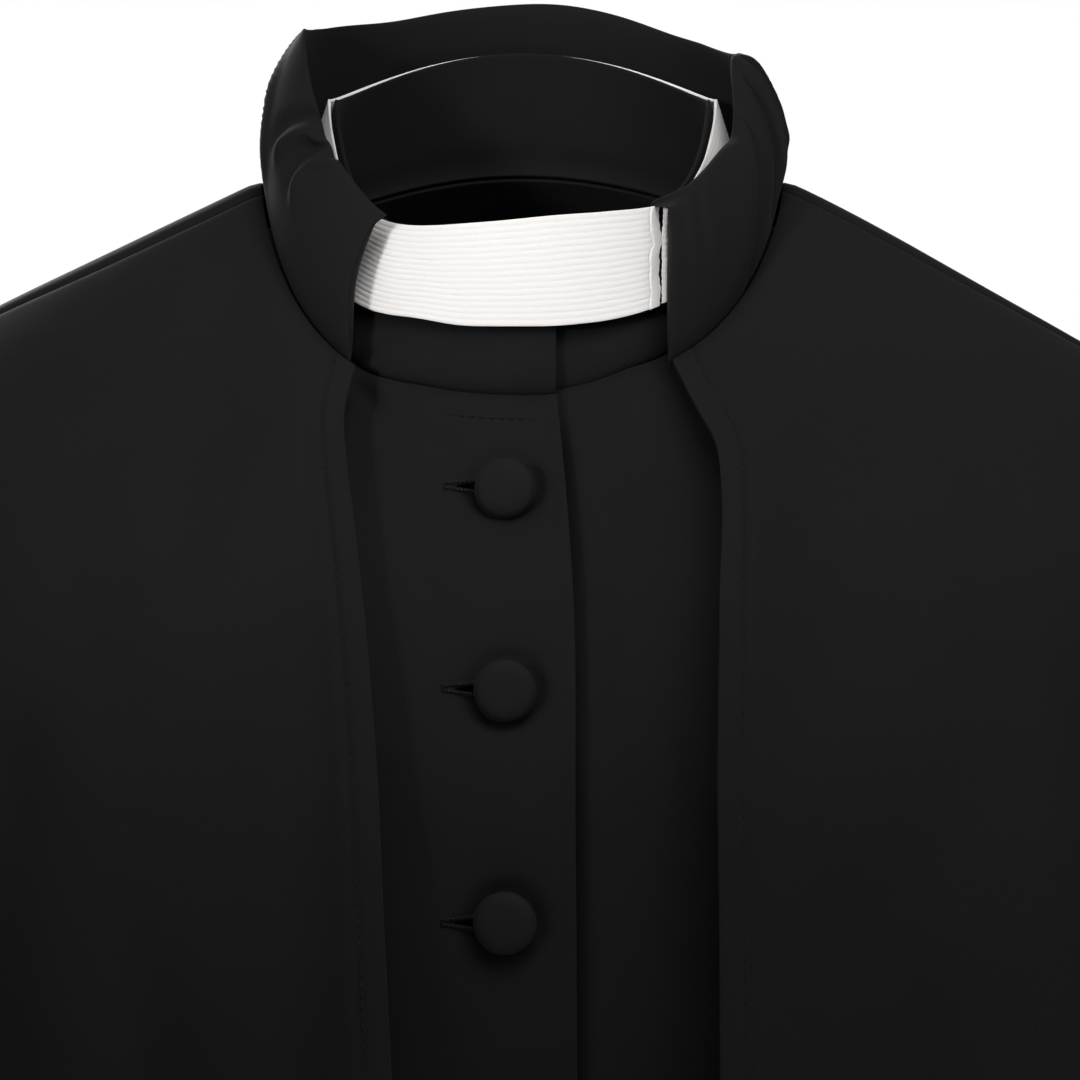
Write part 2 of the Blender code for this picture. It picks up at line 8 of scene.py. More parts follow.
import bmesh
import bpy
import numpy as np
from mathutils import Matrix, Vector


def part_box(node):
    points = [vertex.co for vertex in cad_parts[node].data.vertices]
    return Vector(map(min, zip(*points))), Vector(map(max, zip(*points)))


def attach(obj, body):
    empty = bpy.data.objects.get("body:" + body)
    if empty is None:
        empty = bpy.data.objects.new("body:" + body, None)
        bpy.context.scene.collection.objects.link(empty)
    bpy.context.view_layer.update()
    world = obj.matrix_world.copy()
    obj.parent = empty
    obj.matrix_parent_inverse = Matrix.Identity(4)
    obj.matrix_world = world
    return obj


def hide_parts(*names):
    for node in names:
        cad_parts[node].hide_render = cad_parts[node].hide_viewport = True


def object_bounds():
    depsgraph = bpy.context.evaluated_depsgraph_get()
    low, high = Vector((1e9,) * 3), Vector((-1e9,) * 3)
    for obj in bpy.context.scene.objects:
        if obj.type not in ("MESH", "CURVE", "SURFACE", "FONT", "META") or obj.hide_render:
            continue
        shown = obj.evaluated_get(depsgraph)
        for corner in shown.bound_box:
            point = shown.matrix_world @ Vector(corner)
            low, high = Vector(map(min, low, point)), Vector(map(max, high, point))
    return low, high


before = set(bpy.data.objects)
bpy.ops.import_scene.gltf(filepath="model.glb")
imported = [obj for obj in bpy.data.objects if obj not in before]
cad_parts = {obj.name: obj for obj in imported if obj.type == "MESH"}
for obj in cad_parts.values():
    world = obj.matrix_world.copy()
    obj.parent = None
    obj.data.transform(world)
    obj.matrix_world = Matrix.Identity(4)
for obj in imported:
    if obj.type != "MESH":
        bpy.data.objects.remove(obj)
cad_low, cad_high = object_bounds()

# ---------------------------------------------------------------------------------------
# Cassock, right front. Matte black close-woven cloth, cut from neck to hem in one, with
# its centre edge turned under and pressed. It laps over the left front and carries the
# buttonholes. Its surface is a loft through rings, each with a front, side and back point.
# Columns: drop, front_y, side_x, side_z, back_y, back_z, square, flat.
BODY = (
    (0.0705, -0.0660, 0.0725, -0.0140, 0.0520, 0.0040, 2.0, 1.0),
    (0.1050, -0.0900, 0.1120, -0.0215, 0.0880, -0.0350, 2.0, 0.7),
    (0.1400, -0.1125, 0.1550, -0.0420, 0.1140, -0.0850, 2.1, 0.4),
    (0.1800, -0.1265, 0.1860, -0.0670, 0.1210, -0.1380, 2.2, 0.3),
    (0.2200, -0.1310, 0.1810, -0.1180, 0.1220, -0.1870, 2.3, 0.2),
    (0.2600, -0.1320, 0.1750, -0.1800, 0.1190, -0.2380, 2.4, 0.1),
    (0.3100, -0.1310, 0.1720, -0.2600, 0.1130, -0.2960, 2.4, 0.0),
    (0.3700, -0.1270, 0.1660, -0.3450, 0.1050, -0.3610, 2.4, 0.0),
    (0.4400, -0.1220, 0.1600, -0.4300, 0.1010, -0.4340, 2.4, 0.0),
    (0.6200, -0.1380, 0.1920, -0.6200, 0.1300, -0.6200, 2.3, 0.0),
    (0.9000, -0.1680, 0.2320, -0.9000, 0.1700, -0.9000, 2.2, 0.0),
    (1.1500, -0.1940, 0.2650, -1.1500, 0.2030, -1.1500, 2.2, 0.0),
    (1.3800, -0.2160, 0.2980, -1.3800, 0.2350, -1.3800, 2.2, 0.0),
)
BODY_TILT = 0.11
SHOULDER_DROP = 0.006
# Columns: drop, edge.
PLACKET = ((0.0700, 0.0108), (0.1000, 0.0135), (0.1330, 0.0158), (0.2000, 0.0163), (1.3800, 0.0165))
# Columns: angle, half_width, depth, top.
SKIRT_FOLDS = (
    (37.0, 12.0, 0.020, 0.62),
    (76.0, 13.5, 0.026, 0.54),
    (116.0, 13.0, 0.030, 0.50),
    (155.0, 12.0, 0.026, 0.46),
    (193.0, 13.0, 0.031, 0.45),
    (235.0, 13.5, 0.027, 0.50),
    (280.0, 13.0, 0.025, 0.55),
    (321.0, 12.5, 0.022, 0.60),
)
# Columns: across0, z0, across1, z1, bow, width, depth.
FRONT_CREASES = (
    (-0.030, -0.300, -0.110, -0.400, 0.006, 0.0060, 0.0016),
    (-0.040, -0.415, -0.135, -0.450, -0.006, 0.0065, 0.0022),
    (-0.050, -0.455, -0.140, -0.540, 0.010, 0.0080, 0.0020),
    (0.045, -0.330, 0.120, -0.410, 0.007, 0.0060, 0.0018),
    (0.050, -0.425, 0.140, -0.448, -0.004, 0.0060, 0.0022),
    (0.055, -0.470, 0.150, -0.580, -0.008, 0.0085, 0.0018),
    (-0.060, -0.700, -0.120, -1.050, 0.012, 0.0110, 0.0030),
    (0.070, -0.740, 0.130, -1.080, -0.010, 0.0110, 0.0028),
    (-0.035, -0.180, -0.100, -0.225, 0.004, 0.0050, 0.0008),
    (0.036, -0.165, 0.110, -0.240, -0.005, 0.0055, 0.0010),
    (-0.056, -0.0655, -0.043, -0.0755, 0.001, 0.0036, 0.0018),
    (-0.050, -0.0800, -0.020, -0.0860, 0.001, 0.0045, 0.0006),
    (0.012, -0.0745, 0.031, -0.0700, -0.001, 0.0034, 0.0010),
    (0.020, -0.1150, 0.022, -0.1900, 0.001, 0.0060, 0.0010),
)
WALL = 0.0014
PRESSED_EDGE = 0.0004
LAP_STEP = 0.0034
SIDE_SEAM_GAP = 0.0005
NECK_STITCH_DROP = 0.0781
# A wave texture of this scale divided by a pitch has that pitch, in metres.
WAVE_SCALE = 0.31416
TWILL_PITCH = 0.00036
MOTTLE = 0.17


def read_table(rows, at):
    """The later columns of a table where its first column is "at", on a smooth curve."""
    table = np.array(rows, float)
    key, value = table[:, 0], table[:, 1:]
    step = np.diff(key)
    rise = np.diff(value, axis=0) / step[:, None]
    inner = (rise[:-1] * step[1:, None] + rise[1:] * step[:-1, None]) / (step[:-1] + step[1:])[:, None]
    slope = np.vstack([rise[:1], inner, rise[-1:]])
    at = np.clip(at, key[0], key[-1])
    row = np.clip(np.searchsorted(key, at, side="right") - 1, 0, len(step) - 1)
    width = step[row][..., None]
    f = ((at - key[row]) / step[row])[..., None]
    shape = value[row] * (2 * f**3 - 3 * f**2 + 1) + value[row + 1] * (3 * f**2 - 2 * f**3)
    shape += slope[row] * width * (f**3 - 2 * f**2 + f) + slope[row + 1] * width * (f**3 - f**2)
    return np.moveaxis(shape, -1, 0)


def soft_step(value):
    value = np.clip(value, 0.0, 1.0)
    return value * value * (3 - 2 * value)


def bump(away, width):
    return np.exp(-((away / width) ** 2))


def ring(angle, front_y, side_x, back_y, square):
    """x, y and the share of the half-width reached, round a ring through four points."""
    across, along = np.sin(angle), np.cos(angle)
    radius = (np.abs(across) ** square + np.abs(along) ** square) ** (-1.0 / square)
    depth = np.where(along > 0, front_y, -back_y)
    return side_x * radius * across, depth * radius * along, np.clip(np.abs(radius * across), 0, 1)


def low_share(reach, rise):
    """How far a ring has dropped from its side towards its front: 1 at the front."""
    ease = 0.03
    return ((1 - reach**rise + ease) ** 0.53 - ease**0.53) / ((1 + ease) ** 0.53 - ease**0.53)


def draped(rows, fold_rows, angle, drop, tilt):
    """A point of the cassock or the cape, with its big folds."""
    front_y, side_x, side_z, back_y, back_z, square, flat = read_table(rows, drop)
    x, y, reach = ring(angle, front_y, side_x, back_y, square)
    turn = np.degrees(angle) % 360
    hem = rows[-1][0]
    out = np.zeros_like(turn)
    for at, half_width, depth, top in fold_rows:
        away = (turn - at + 180) % 360 - 180
        out += depth * soft_step((drop - top) / (hem - top)) * bump(away, half_width)
    out_x = x / side_x**2
    out_y = y / np.where(np.cos(angle) > 0, front_y, back_y) ** 2
    out = out * soft_step((np.abs(x) - 0.030) / 0.040) / np.hypot(out_x, out_y)
    x, y = x + out * out_x, y + out * out_y
    low = flat * low_share(reach, 3) + (1 - flat) * (1 - reach**2)
    front = side_z + (-drop - side_z) * low
    back = side_z + (back_z - side_z) * (1 - reach**2)
    z = np.where(np.cos(angle) > 0, front, back) + tilt * flat * x * np.clip(np.cos(angle), 0, 1)
    z = z - SHOULDER_DROP * soft_step((x - 0.09) / 0.10) * soft_step((0.60 - drop) / 0.30)
    return np.stack([x, y, z], -1)


def raised(surface, angle, drop, out):
    """A point moved out from a surface along its own normal."""
    small = 1e-4
    here = surface(angle, drop)
    round_way = surface(angle + small, drop) - surface(angle - small, drop)
    up_way = surface(angle, drop - small) - surface(angle, drop + small)
    normal = np.cross(round_way, up_way)
    normal /= np.linalg.norm(normal, axis=-1, keepdims=True)
    return here + normal * np.asarray(out)[..., None]


# Columns: x, over, under, top.
NECK_SHAPE = (
    (-0.066, 0.0000, 0.0000, 0.0000),
    (-0.052, -0.0002, 0.0000, 0.0000),
    (-0.042, 0.0022, 0.0010, 0.0002),
    (-0.033, 0.0038, 0.0020, 0.0004),
    (-0.020, 0.0030, 0.0020, 0.0007),
    (-0.006, 0.0012, 0.0020, 0.0010),
    (0.011, -0.0007, 0.0020, 0.0018),
    (0.021, -0.0004, 0.0023, 0.0021),
    (0.033, 0.0000, 0.0028, 0.0024),
    (0.046, 0.0000, 0.0006, 0.0016),
    (0.062, 0.0000, 0.0000, 0.0000),
)


def cassock(angle, drop, layer=0):
    """The cassock's surface. Its neckline is a shallow uneven V, lowest where the fronts lap."""
    point = draped(BODY, SKIRT_FOLDS, angle, drop, BODY_TILT)
    ahead = np.clip(np.cos(angle) * 4, 0, 1)
    near_neck = bump(drop - BODY[0][0], 0.022) * ahead
    point[..., 2] += read_table(NECK_SHAPE, point[..., 0])[layer] * near_neck
    return point


def cassock_under(angle, drop):
    return cassock(angle, drop, 1)


def edge_angle(side, drop, inside):
    """The angle to one side of the centre front up to which inside(angle) holds."""
    near, far = np.zeros_like(drop), np.full_like(drop, math.radians(80))
    for _ in range(26):
        middle = (near + far) / 2
        held = inside(side * middle)
        near, far = np.where(held, middle, near), np.where(held, far, middle)
    return side * (near + far) / 2


def angle_of_x(surface, drop, x):
    """The angle near the centre front where a surface has this x."""
    side = np.sign(x)
    return edge_angle(side, drop, lambda angle: surface(angle, drop)[..., 0] * side < np.abs(x))


def creased(rows, across, z):
    """How far the creases of a table press a surface in. Each fades out at both ends."""
    out = np.zeros_like(across)
    for a0, z0, a1, z1, bow, width, depth in rows:
        run_a, run_z = a1 - a0, z1 - z0
        length = math.hypot(run_a, run_z)
        t = ((across - a0) * run_a + (z - z0) * run_z) / length**2
        away = ((across - a0) * -run_z + (z - z0) * run_a) / length - bow * 4 * t * (1 - t)
        fade = soft_step(t / 0.3 + 0.15) * soft_step((1 - t) / 0.3 + 0.15)
        fade = fade * soft_step((1.12 - t) * 8) * soft_step((t + 0.12) * 8)
        out -= fade * depth * (bump(away, width) - 0.45 * bump(away - 2.1 * width, 1.4 * width))
    return out


def new_piece(name, bm, material=None):
    """A smooth object made from a bmesh, which is freed."""
    mesh = bpy.data.meshes.new(name)
    bm.to_mesh(mesh)
    bm.free()
    mesh.shade_smooth()
    if material is not None:
        mesh.materials.append(material)
    piece = bpy.data.objects.new(name, mesh)
    bpy.context.scene.collection.objects.link(piece)
    return piece


def panel(name, columns, rows, place, wall, material, finish=None):
    """A piece of cloth: a flat grid put in place by place(u, v), with a flat map in metres."""
    bm = bmesh.new()
    bmesh.ops.create_grid(bm, x_segments=columns, y_segments=rows, size=0.5)
    flat = np.array([vert.co[:2] for vert in bm.verts]) + 0.5
    points = place(flat[:, 0], flat[:, 1])
    for vert, point in zip(bm.verts, points):
        vert.co = point
    order = np.lexsort((np.round(flat[:, 0], 6), np.round(flat[:, 1], 6)))
    grid = points[order].reshape(rows + 1, columns + 1, 3)
    across = np.zeros(grid.shape[:2])
    across[:, 1:] = np.cumsum(np.linalg.norm(np.diff(grid, axis=1), axis=2), axis=1)
    up = np.zeros(grid.shape[:2])
    up[1:] = np.cumsum(np.linalg.norm(np.diff(grid, axis=0), axis=2).mean(axis=1))[:, None]
    where = np.empty((len(points), 2))
    where[order] = np.stack([across.ravel(), up.ravel()], 1)
    cloth_map = bm.loops.layers.uv.new("cloth")
    for face in bm.faces:
        for loop in face.loops:
            loop[cloth_map].uv = where[loop.vert.index]
    if finish is not None:
        finish(bm)
    piece = new_piece(name, bm, material)
    if wall:
        thick = piece.modifiers.new("wall", "SOLIDIFY")
        thick.thickness, thick.offset = wall, -1
        turned = piece.modifiers.new("turned_edge", "BEVEL")
        turned.limit_method, turned.angle_limit = "ANGLE", math.radians(60)
        turned.width, turned.segments = PRESSED_EDGE, 2
    return piece


def add_node(tree, kind, values=(), **settings):
    """A new shader node, with its input values from a dictionary and its other settings."""
    made = tree.nodes.new("ShaderNode" + kind)
    for socket, value in dict(values).items():
        made.inputs[socket].default_value = value
    for setting, value in settings.items():
        setattr(made, setting, value)
    return made


def connect(tree, *wires):
    """Links nodes, each wire being a node, its output, a node and its input."""
    for source, output, target, socket in wires:
        tree.links.new(source.outputs[output], target.inputs[socket])


def new_material(name, values):
    """A material, its node tree and its main shader with these input values."""
    material = bpy.data.materials.new(name)
    material.use_nodes = True
    shader = material.node_tree.nodes["Principled BSDF"]
    for socket, value in values.items():
        shader.inputs[socket].default_value = value
    return material, material.node_tree, shader


def cloth_with_painted_shade(name, colour, roughness):
    """Woven wool: a fine twill on the cloth's own map, with lint and slow changes of tone,
    and painted shade: an ambient occlusion node darkens the colour in narrow crevices."""
    material, tree, shader = new_material(name, {
        "Roughness": roughness,
        "Specular IOR Level": 0.13,
        "Sheen Weight": 0.03,
        "Sheen Roughness": 0.45,
    })
    where = add_node(tree, "UVMap", uv_map="cloth")
    place = add_node(tree, "TexCoord")
    twill = add_node(
        tree, "TexWave", {"Scale": WAVE_SCALE / TWILL_PITCH, "Distortion": 1.2, "Detail Scale": 2.0},
        bands_direction="DIAGONAL",
    )
    lint = add_node(tree, "TexNoise", {"Scale": 900.0, "Detail": 3.0})
    tone = add_node(tree, "TexNoise", {"Scale": 9.0, "Detail": 4.0})
    mixed = add_node(tree, "Math", {1: 0.45}, operation="MULTIPLY_ADD")
    shade = add_node(tree, "MapRange", {
        "From Min": 0.45,
        "From Max": 1.0,
        "To Min": 1.0 - MOTTLE,
        "To Max": 1.0 + MOTTLE,
    })
    # Painted shade: this occlusion value darkens the base colour in creases, seams and gaps, where shade
    # falls.
    hollow = add_node(tree, "AmbientOcclusion", {"Distance": 0.008}, samples=6)
    deep = add_node(tree, "MapRange", {"From Min": 0.35, "To Min": 0.25})
    both = add_node(tree, "Math", operation="MULTIPLY")
    base_colour = add_node(tree, "VectorMath", {0: colour}, operation="SCALE")
    height = add_node(tree, "Math", {1: 0.6}, operation="MULTIPLY_ADD")
    relief = add_node(tree, "Bump", {"Strength": 0.22, "Distance": 0.0001})
    slack = add_node(tree, "TexNoise", {"Scale": 26.0, "Detail": 2.0})
    uneven = add_node(tree, "Bump", {"Strength": 0.5, "Distance": 0.0024})
    connect(
        tree,
        (where, "UV", twill, "Vector"),
        (where, "UV", lint, "Vector"),
        (place, "Object", tone, "Vector"),
        (lint, "Fac", mixed, 0),
        (tone, "Fac", mixed, 2),
        (mixed, 0, shade, "Value"),
        (hollow, "AO", deep, "Value"),
        # Painted shade: the mottled tone is multiplied by the occlusion darkening before it scales the
        # colour.
        (shade, "Result", both, 0),
        (deep, "Result", both, 1),
        (both, 0, base_colour, "Scale"),
        (base_colour, "Vector", shader, "Base Color"),
        (lint, "Fac", height, 0),
        (twill, "Fac", height, 2),
        (height, 0, relief, "Height"),
        (place, "Object", slack, "Vector"),
        (slack, "Fac", uneven, "Height"),
        (uneven, "Normal", relief, "Normal"),
        (relief, "Normal", shader, "Normal"),
    )
    return material


BUTTON_CENTRES = [
    (np.array(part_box(f"button_{number:02d}")[0]) + np.array(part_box(f"button_{number:02d}")[1])) / 2
    for number in range(1, 18)
]
DEEP_ROWS = ((0.0, 0.0705), (0.30, 0.150), (0.62, 0.290), (0.80, 0.620), (1.0, 1.380))


def body_drop(v):
    """The depth of a row: the rows lie closest over the chest, and v runs upwards."""
    return np.interp(1 - v, [row[0] for row in DEEP_ROWS], [row[1] for row in DEEP_ROWS])


def sunk_seam(distance, width=0.0017, depth=0.0008):
    """Cloth rolls down where it meets a seam."""
    return -depth * bump(distance, width)


def front_relief(point, drop):
    """What both fronts share: creases, the neck seam and the pull round each button."""
    out = creased(FRONT_CREASES, point[..., 0], point[..., 2])
    out += sunk_seam(drop - BODY[0][0]) + sunk_seam(BODY[-1][0] - drop, 0.004, 0.0006)
    for centre in BUTTON_CENTRES:
        away = np.hypot(point[..., 0] - centre[0], point[..., 2] - centre[2])
        out -= 0.0017 * bump(away, 0.0120) + 0.0012 * bump(away - 0.0098, 0.0024)
    return out


def front_right_place(u, v):
    drop = body_drop(v)
    seam = np.full_like(drop, -math.radians(90) + SIDE_SEAM_GAP)
    edge = angle_of_x(cassock, drop, read_table(PLACKET, drop)[0])
    angle = seam + (edge - seam) * (1 - (1 - u) ** 1.35)
    point = cassock(angle, drop)
    from_edge = read_table(PLACKET, drop)[0] - point[..., 0]
    out = front_relief(point, drop) + 0.0009 * bump(from_edge, 0.0060)
    out -= 0.0002 * bump(from_edge - 0.004, 0.002)
    out -= 0.00035 * bump(drop - NECK_STITCH_DROP, 0.0009) * soft_step((0.042 - from_edge) / 0.006)
    out += sunk_seam((angle - seam) * 0.15)
    return raised(cassock, angle, drop, out)


ARMHOLE_Z, ARMHOLE_HALF_HEIGHT, ARMHOLE_HALF_DEPTH = -0.139, 0.061, 0.058


def cut_armholes(bm):
    """Cuts the armholes: cloth inside each ellipse goes, and the edge left is drawn onto it."""
    def inside(co):
        tall = (co.z - ARMHOLE_Z) / ARMHOLE_HALF_HEIGHT
        deep = co.y / ARMHOLE_HALF_DEPTH
        return math.hypot(tall, deep) if abs(co.x) > 0.12 else 9.0

    gone = [face for face in bm.faces if inside(face.calc_center_median()) < 1.0]
    rim = {vert for face in gone for vert in face.verts}
    bmesh.ops.delete(bm, geom=gone, context="FACES")
    for vert in rim:
        if vert.is_valid and vert.link_faces:
            reach = inside(vert.co)
            if 0.3 < reach < 1.7:
                vert.co.y /= reach
                vert.co.z = ARMHOLE_Z + (vert.co.z - ARMHOLE_Z) / reach


BLACK_DYE = (0.0064, 0.0064, 0.0069)
cassock_cloth = cloth_with_painted_shade("cassock_cloth", BLACK_DYE, 0.82)
front_right = panel("cassock_front_right", 96, 240, front_right_place, WALL, cassock_cloth, cut_armholes)
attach(front_right, "root")
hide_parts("front_right")

# ---------------------------------------------------------------------------------------
# Cassock, left front. The same cloth; its centre edge lies under the right front, a
# cloth's thickness lower, and carries the buttons on their shanks.
UNDERLAP = -0.0260


def front_left_place(u, v):
    drop = body_drop(v)
    seam = np.full_like(drop, math.radians(90) - SIDE_SEAM_GAP)
    edge = angle_of_x(cassock, drop, np.full_like(drop, UNDERLAP))
    angle = edge + (seam - edge) * u**1.35
    point = cassock(angle, drop)
    out = front_relief(point, drop) - LAP_STEP * (1 - soft_step((point[..., 0] - 0.017) / 0.034))
    out += sunk_seam((seam - angle) * 0.15)
    lap_edge = point[..., 0] - read_table(PLACKET, drop)[0]
    out -= 0.0022 * bump(lap_edge + 0.0020, 0.0036) * soft_step((drop - 0.072) / 0.02)
    return raised(cassock_under, angle, drop, out)


front_left = panel("cassock_front_left", 96, 240, front_left_place, WALL, cassock_cloth, cut_armholes)
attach(front_left, "root")
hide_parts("front_left")

# ---------------------------------------------------------------------------------------
# Cassock, back. One panel, shaped at the waist and flaring to the hem in soft folds, and
# joined to the fronts at the shoulders and sides with pressed seams.
BACK_CREASES = (
    (-0.020, -0.380, -0.120, -0.430, 0.008, 0.0070, 0.0022),
    (0.015, -0.395, 0.125, -0.440, -0.006, 0.0075, 0.0024),
    (-0.030, -0.450, -0.110, -0.560, -0.009, 0.0080, 0.0020),
    (0.040, -0.470, 0.130, -0.590, 0.010, 0.0085, 0.0022),
    (-0.080, -0.250, -0.130, -0.360, 0.006, 0.0060, 0.0014),
    (0.070, -0.240, 0.135, -0.350, -0.006, 0.0060, 0.0014),
)


def back_place(u, v):
    drop = body_drop(v)
    start = math.radians(90) + SIDE_SEAM_GAP
    end = math.radians(270) - SIDE_SEAM_GAP
    angle = start + (end - start) * u
    point = cassock(angle, drop)
    out = creased(BACK_CREASES, point[..., 0], point[..., 2])
    out += sunk_seam((angle - start) * 0.15) + sunk_seam((end - angle) * 0.15)
    out += sunk_seam(drop - BODY[0][0]) + sunk_seam(BODY[-1][0] - drop, 0.004, 0.0006)
    return raised(cassock, angle, drop, out)


back = panel("cassock_back", 130, 170, back_place, WALL, cassock_cloth, cut_armholes)
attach(back, "root")
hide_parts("back")

# ---------------------------------------------------------------------------------------
# Sleeves. Each is a set-in sleeve of the same cloth, rolled to a tube with its seam under
# the arm, eased into the armhole, bent a little at the elbow and turned in at the cuff.
# Columns: step, outer_x, outer_z, inner_x, inner_z, middle_y, half_depth.
SLEEVE = (
    (1, 0.2320, -0.0960, 0.1800, -0.2045, 0.0000, 0.0595),
    (2, 0.2590, -0.1320, 0.1825, -0.2140, 0.0000, 0.0600),
    (3, 0.2780, -0.1900, 0.1840, -0.2320, 0.0000, 0.0585),
    (4, 0.2870, -0.2700, 0.1850, -0.2800, -0.0020, 0.0560),
    (5, 0.2920, -0.3400, 0.1885, -0.3430, -0.0040, 0.0535),
    (6, 0.2970, -0.4200, 0.1960, -0.4150, -0.0100, 0.0515),
    (7, 0.3000, -0.5200, 0.2080, -0.5120, -0.0220, 0.0490),
    (8, 0.3030, -0.6320, 0.2160, -0.6220, -0.0380, 0.0460),
)
# Columns: turn, step, width_turn, width_step, depth, slant.
SLEEVE_CREASES = (
    (-1.50, 5.70, 0.55, 0.10, 0.0030, 0.25),
    (-1.20, 6.15, 0.60, 0.10, 0.0026, -0.20),
    (1.60, 5.30, 0.50, 0.11, 0.0022, 0.30),
    (2.60, 6.60, 0.70, 0.12, 0.0020, -0.35),
    (-2.70, 4.80, 0.60, 0.12, 0.0018, 0.40),
    (0.60, 7.10, 0.60, 0.13, 0.0016, 0.30),
    (3.00, 2.30, 0.50, 0.20, 0.0030, 0.10),
)


def armhole_x(y, z, side):
    """How far out the cassock's side is at this y and z."""
    angle = np.full_like(y, side * math.radians(90))
    drop = np.full_like(y, 0.21)
    small = 1e-4
    for _ in range(30):
        here = cassock(angle, drop)
        by_angle = (cassock(angle + small, drop) - here) / small
        by_drop = (cassock(angle, drop + small) - here) / small
        miss_y, miss_z = y - here[..., 1], z - here[..., 2]
        area = by_angle[..., 1] * by_drop[..., 2] - by_angle[..., 2] * by_drop[..., 1]
        angle = angle + 0.6 * (miss_y * by_drop[..., 2] - miss_z * by_drop[..., 1]) / area
        drop = drop + 0.6 * (by_angle[..., 1] * miss_z - by_angle[..., 2] * miss_y) / area
        drop = np.clip(drop, 0.10, 0.34)
    return cassock(angle, drop)[..., 0]


def sleeve_place(side):
    last = SLEEVE[-1][0]

    def place(u, v):
        turn = side * 2 * math.pi * (u - 0.5)
        step = (1 - v) * last
        hole_y = (ARMHOLE_HALF_DEPTH - 0.0006) * np.sin(turn)
        hole_z = ARMHOLE_Z + (ARMHOLE_HALF_HEIGHT - 0.0006) * np.cos(turn)
        hole = np.stack([armhole_x(hole_y, hole_z, side), hole_y, hole_z], -1)
        outer_x, outer_z, inner_x, inner_z, middle_y, half_depth = read_table(SLEEVE, step)
        out = np.zeros_like(turn)
        for at, level, wide, tall, depth, slant in SLEEVE_CREASES:
            away = (turn - at + math.pi) % (2 * math.pi) - math.pi
            line = step - level - slant * away
            out -= depth * bump(away, wide) * (bump(line, tall) - 0.5 * bump(line - 0.28, 0.16))
        out += 0.0006 * soft_step((step - last + 0.30) / 0.05) - 0.0006 * bump(step - last + 0.31, 0.03)
        half_x, half_z = (outer_x - inner_x) / 2, (outer_z - inner_z) / 2
        fuller = 1 + out / np.hypot(half_x, half_z)
        x = (outer_x + inner_x) / 2 + half_x * fuller * np.cos(turn)
        z = (outer_z + inner_z) / 2 + half_z * fuller * np.cos(turn)
        tube = np.stack([side * x, middle_y + (half_depth + out) * np.sin(turn), z], -1)
        near = np.clip(step, 0, 1)[..., None]
        cap = 0.004 * np.sin(math.pi * near)
        return hole * (1 - near) + tube * near + cap * np.array([side * 0.8, 0, 0.5])

    return place


def close_tube(bm):
    bmesh.ops.remove_doubles(bm, verts=bm.verts[:], dist=1e-5)


for side, sleeve_name in ((-1, "sleeve_right"), (1, "sleeve_left")):
    sleeve = panel("cassock_" + sleeve_name, 72, 120, sleeve_place(side), WALL, cassock_cloth, close_tube)
    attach(sleeve, "root")
    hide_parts(sleeve_name)

# ---------------------------------------------------------------------------------------
# Stand collar of the cassock. An interfaced strip sewn to the neck edge; its right end
# laps over its left one above the placket's edge, and it closes behind the white band.
# Columns: height, front_y, front_z, side_x, side_z, back_y, back_z, rise.
STAND_COLLAR = (
    (0.0, -0.0660, -0.0705, 0.0725, -0.0140, 0.0520, 0.0040, 3.0),
    (1.0, -0.0580, -0.0165, 0.0600, 0.0260, 0.0460, 0.0440, 6.0),
)
STAND_LAP, STAND_UNDERLAP = 0.0107, -0.0150


def read_straight(rows, at):
    """The later columns of a two-row table, in a straight line between its rows."""
    first, last = np.array(rows[0][1:]), np.array(rows[-1][1:])
    return np.moveaxis(first + (last - first) * np.asarray(at)[..., None], -1, 0)


def collar_point(columns, tilt, angle, out):
    """A point of a standing collar, "out" of its outer face along the ring's normal."""
    front_y, front_z, side_x, side_z, back_y, back_z, rise = columns
    x, y, reach = ring(angle, front_y, side_x, back_y, 2.0)
    front = side_z + (front_z - side_z) * low_share(reach, rise)
    back_part = side_z + (back_z - side_z) * (1 - reach**2)
    ahead = np.clip(np.cos(angle), 0, 1)
    z = np.where(ahead > 0, front, back_part) + tilt * x * ahead
    depth = np.where(ahead > 0, front_y, back_y)
    normal = np.stack([x / side_x**2, y / depth**2, np.zeros_like(x)], -1)
    normal /= np.linalg.norm(normal, axis=-1, keepdims=True)
    return np.stack([x, y, z], -1) + normal * np.asarray(out)[..., None]


def stand_point(angle, height, out):
    tilt = BODY_TILT * (1 - height) + 0.055 * height
    point = collar_point(read_straight(STAND_COLLAR, height), tilt, angle, out)
    over, under, top = read_table(NECK_SHAPE, point[..., 0]) * np.clip(np.cos(angle) * 4, 0, 1)
    base = np.where(np.asarray(angle) > math.pi, over, under)
    point[..., 2] += base * np.clip(1 - height, 0, 1) ** 1.5 + top * height
    return point


def stand_angle(height, x):
    return np.arcsin(x / read_straight(STAND_COLLAR, height)[2])


def stand_place(u, v):
    height = -0.010 + 1.008 * v
    start = stand_angle(height, STAND_UNDERLAP)
    end = 2 * math.pi + stand_angle(height, STAND_LAP)
    angle = start + (end - start) * u
    under = 1 - soft_step((angle - 0.25) / 0.65)
    out = -LAP_STEP * under
    crease = (angle - 2 * math.pi) + 0.81 - 0.52 * height
    fade = 1 - soft_step((height - 0.16) / 0.20)
    out += (0.0005 * bump(crease + 0.055, 0.03) - 0.0010 * bump(crease, 0.026)) * fade
    out -= 0.0010 * bump(height + 0.010, 0.028)
    out += 0.0005 * bump(height - 0.14, 0.09)
    point = stand_point(angle, height, out)
    point[..., 2] -= 0.0018 * under * bump(height, 0.20)
    return point


collar_cloth = cloth_with_painted_shade("collar_cloth", BLACK_DYE, 0.82)
stand = panel("cassock_stand_collar", 300, 30, stand_place, WALL, collar_cloth)
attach(stand, "root")
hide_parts("stand_collar")

# ---------------------------------------------------------------------------------------
# White neck band. Ribbed white cotton, stiffened, that goes round the stand collar and
# meets end to end at the wearer's left front: one end is a plain hemmed strip with a row
# of stitches, the other turns up into a soft loop beside it.
BAND_LOW, BAND_HIGH = 0.367, 1.0
BAND_MEET = 0.0421
BAND_OUT = 0.0024
RIBS = 17
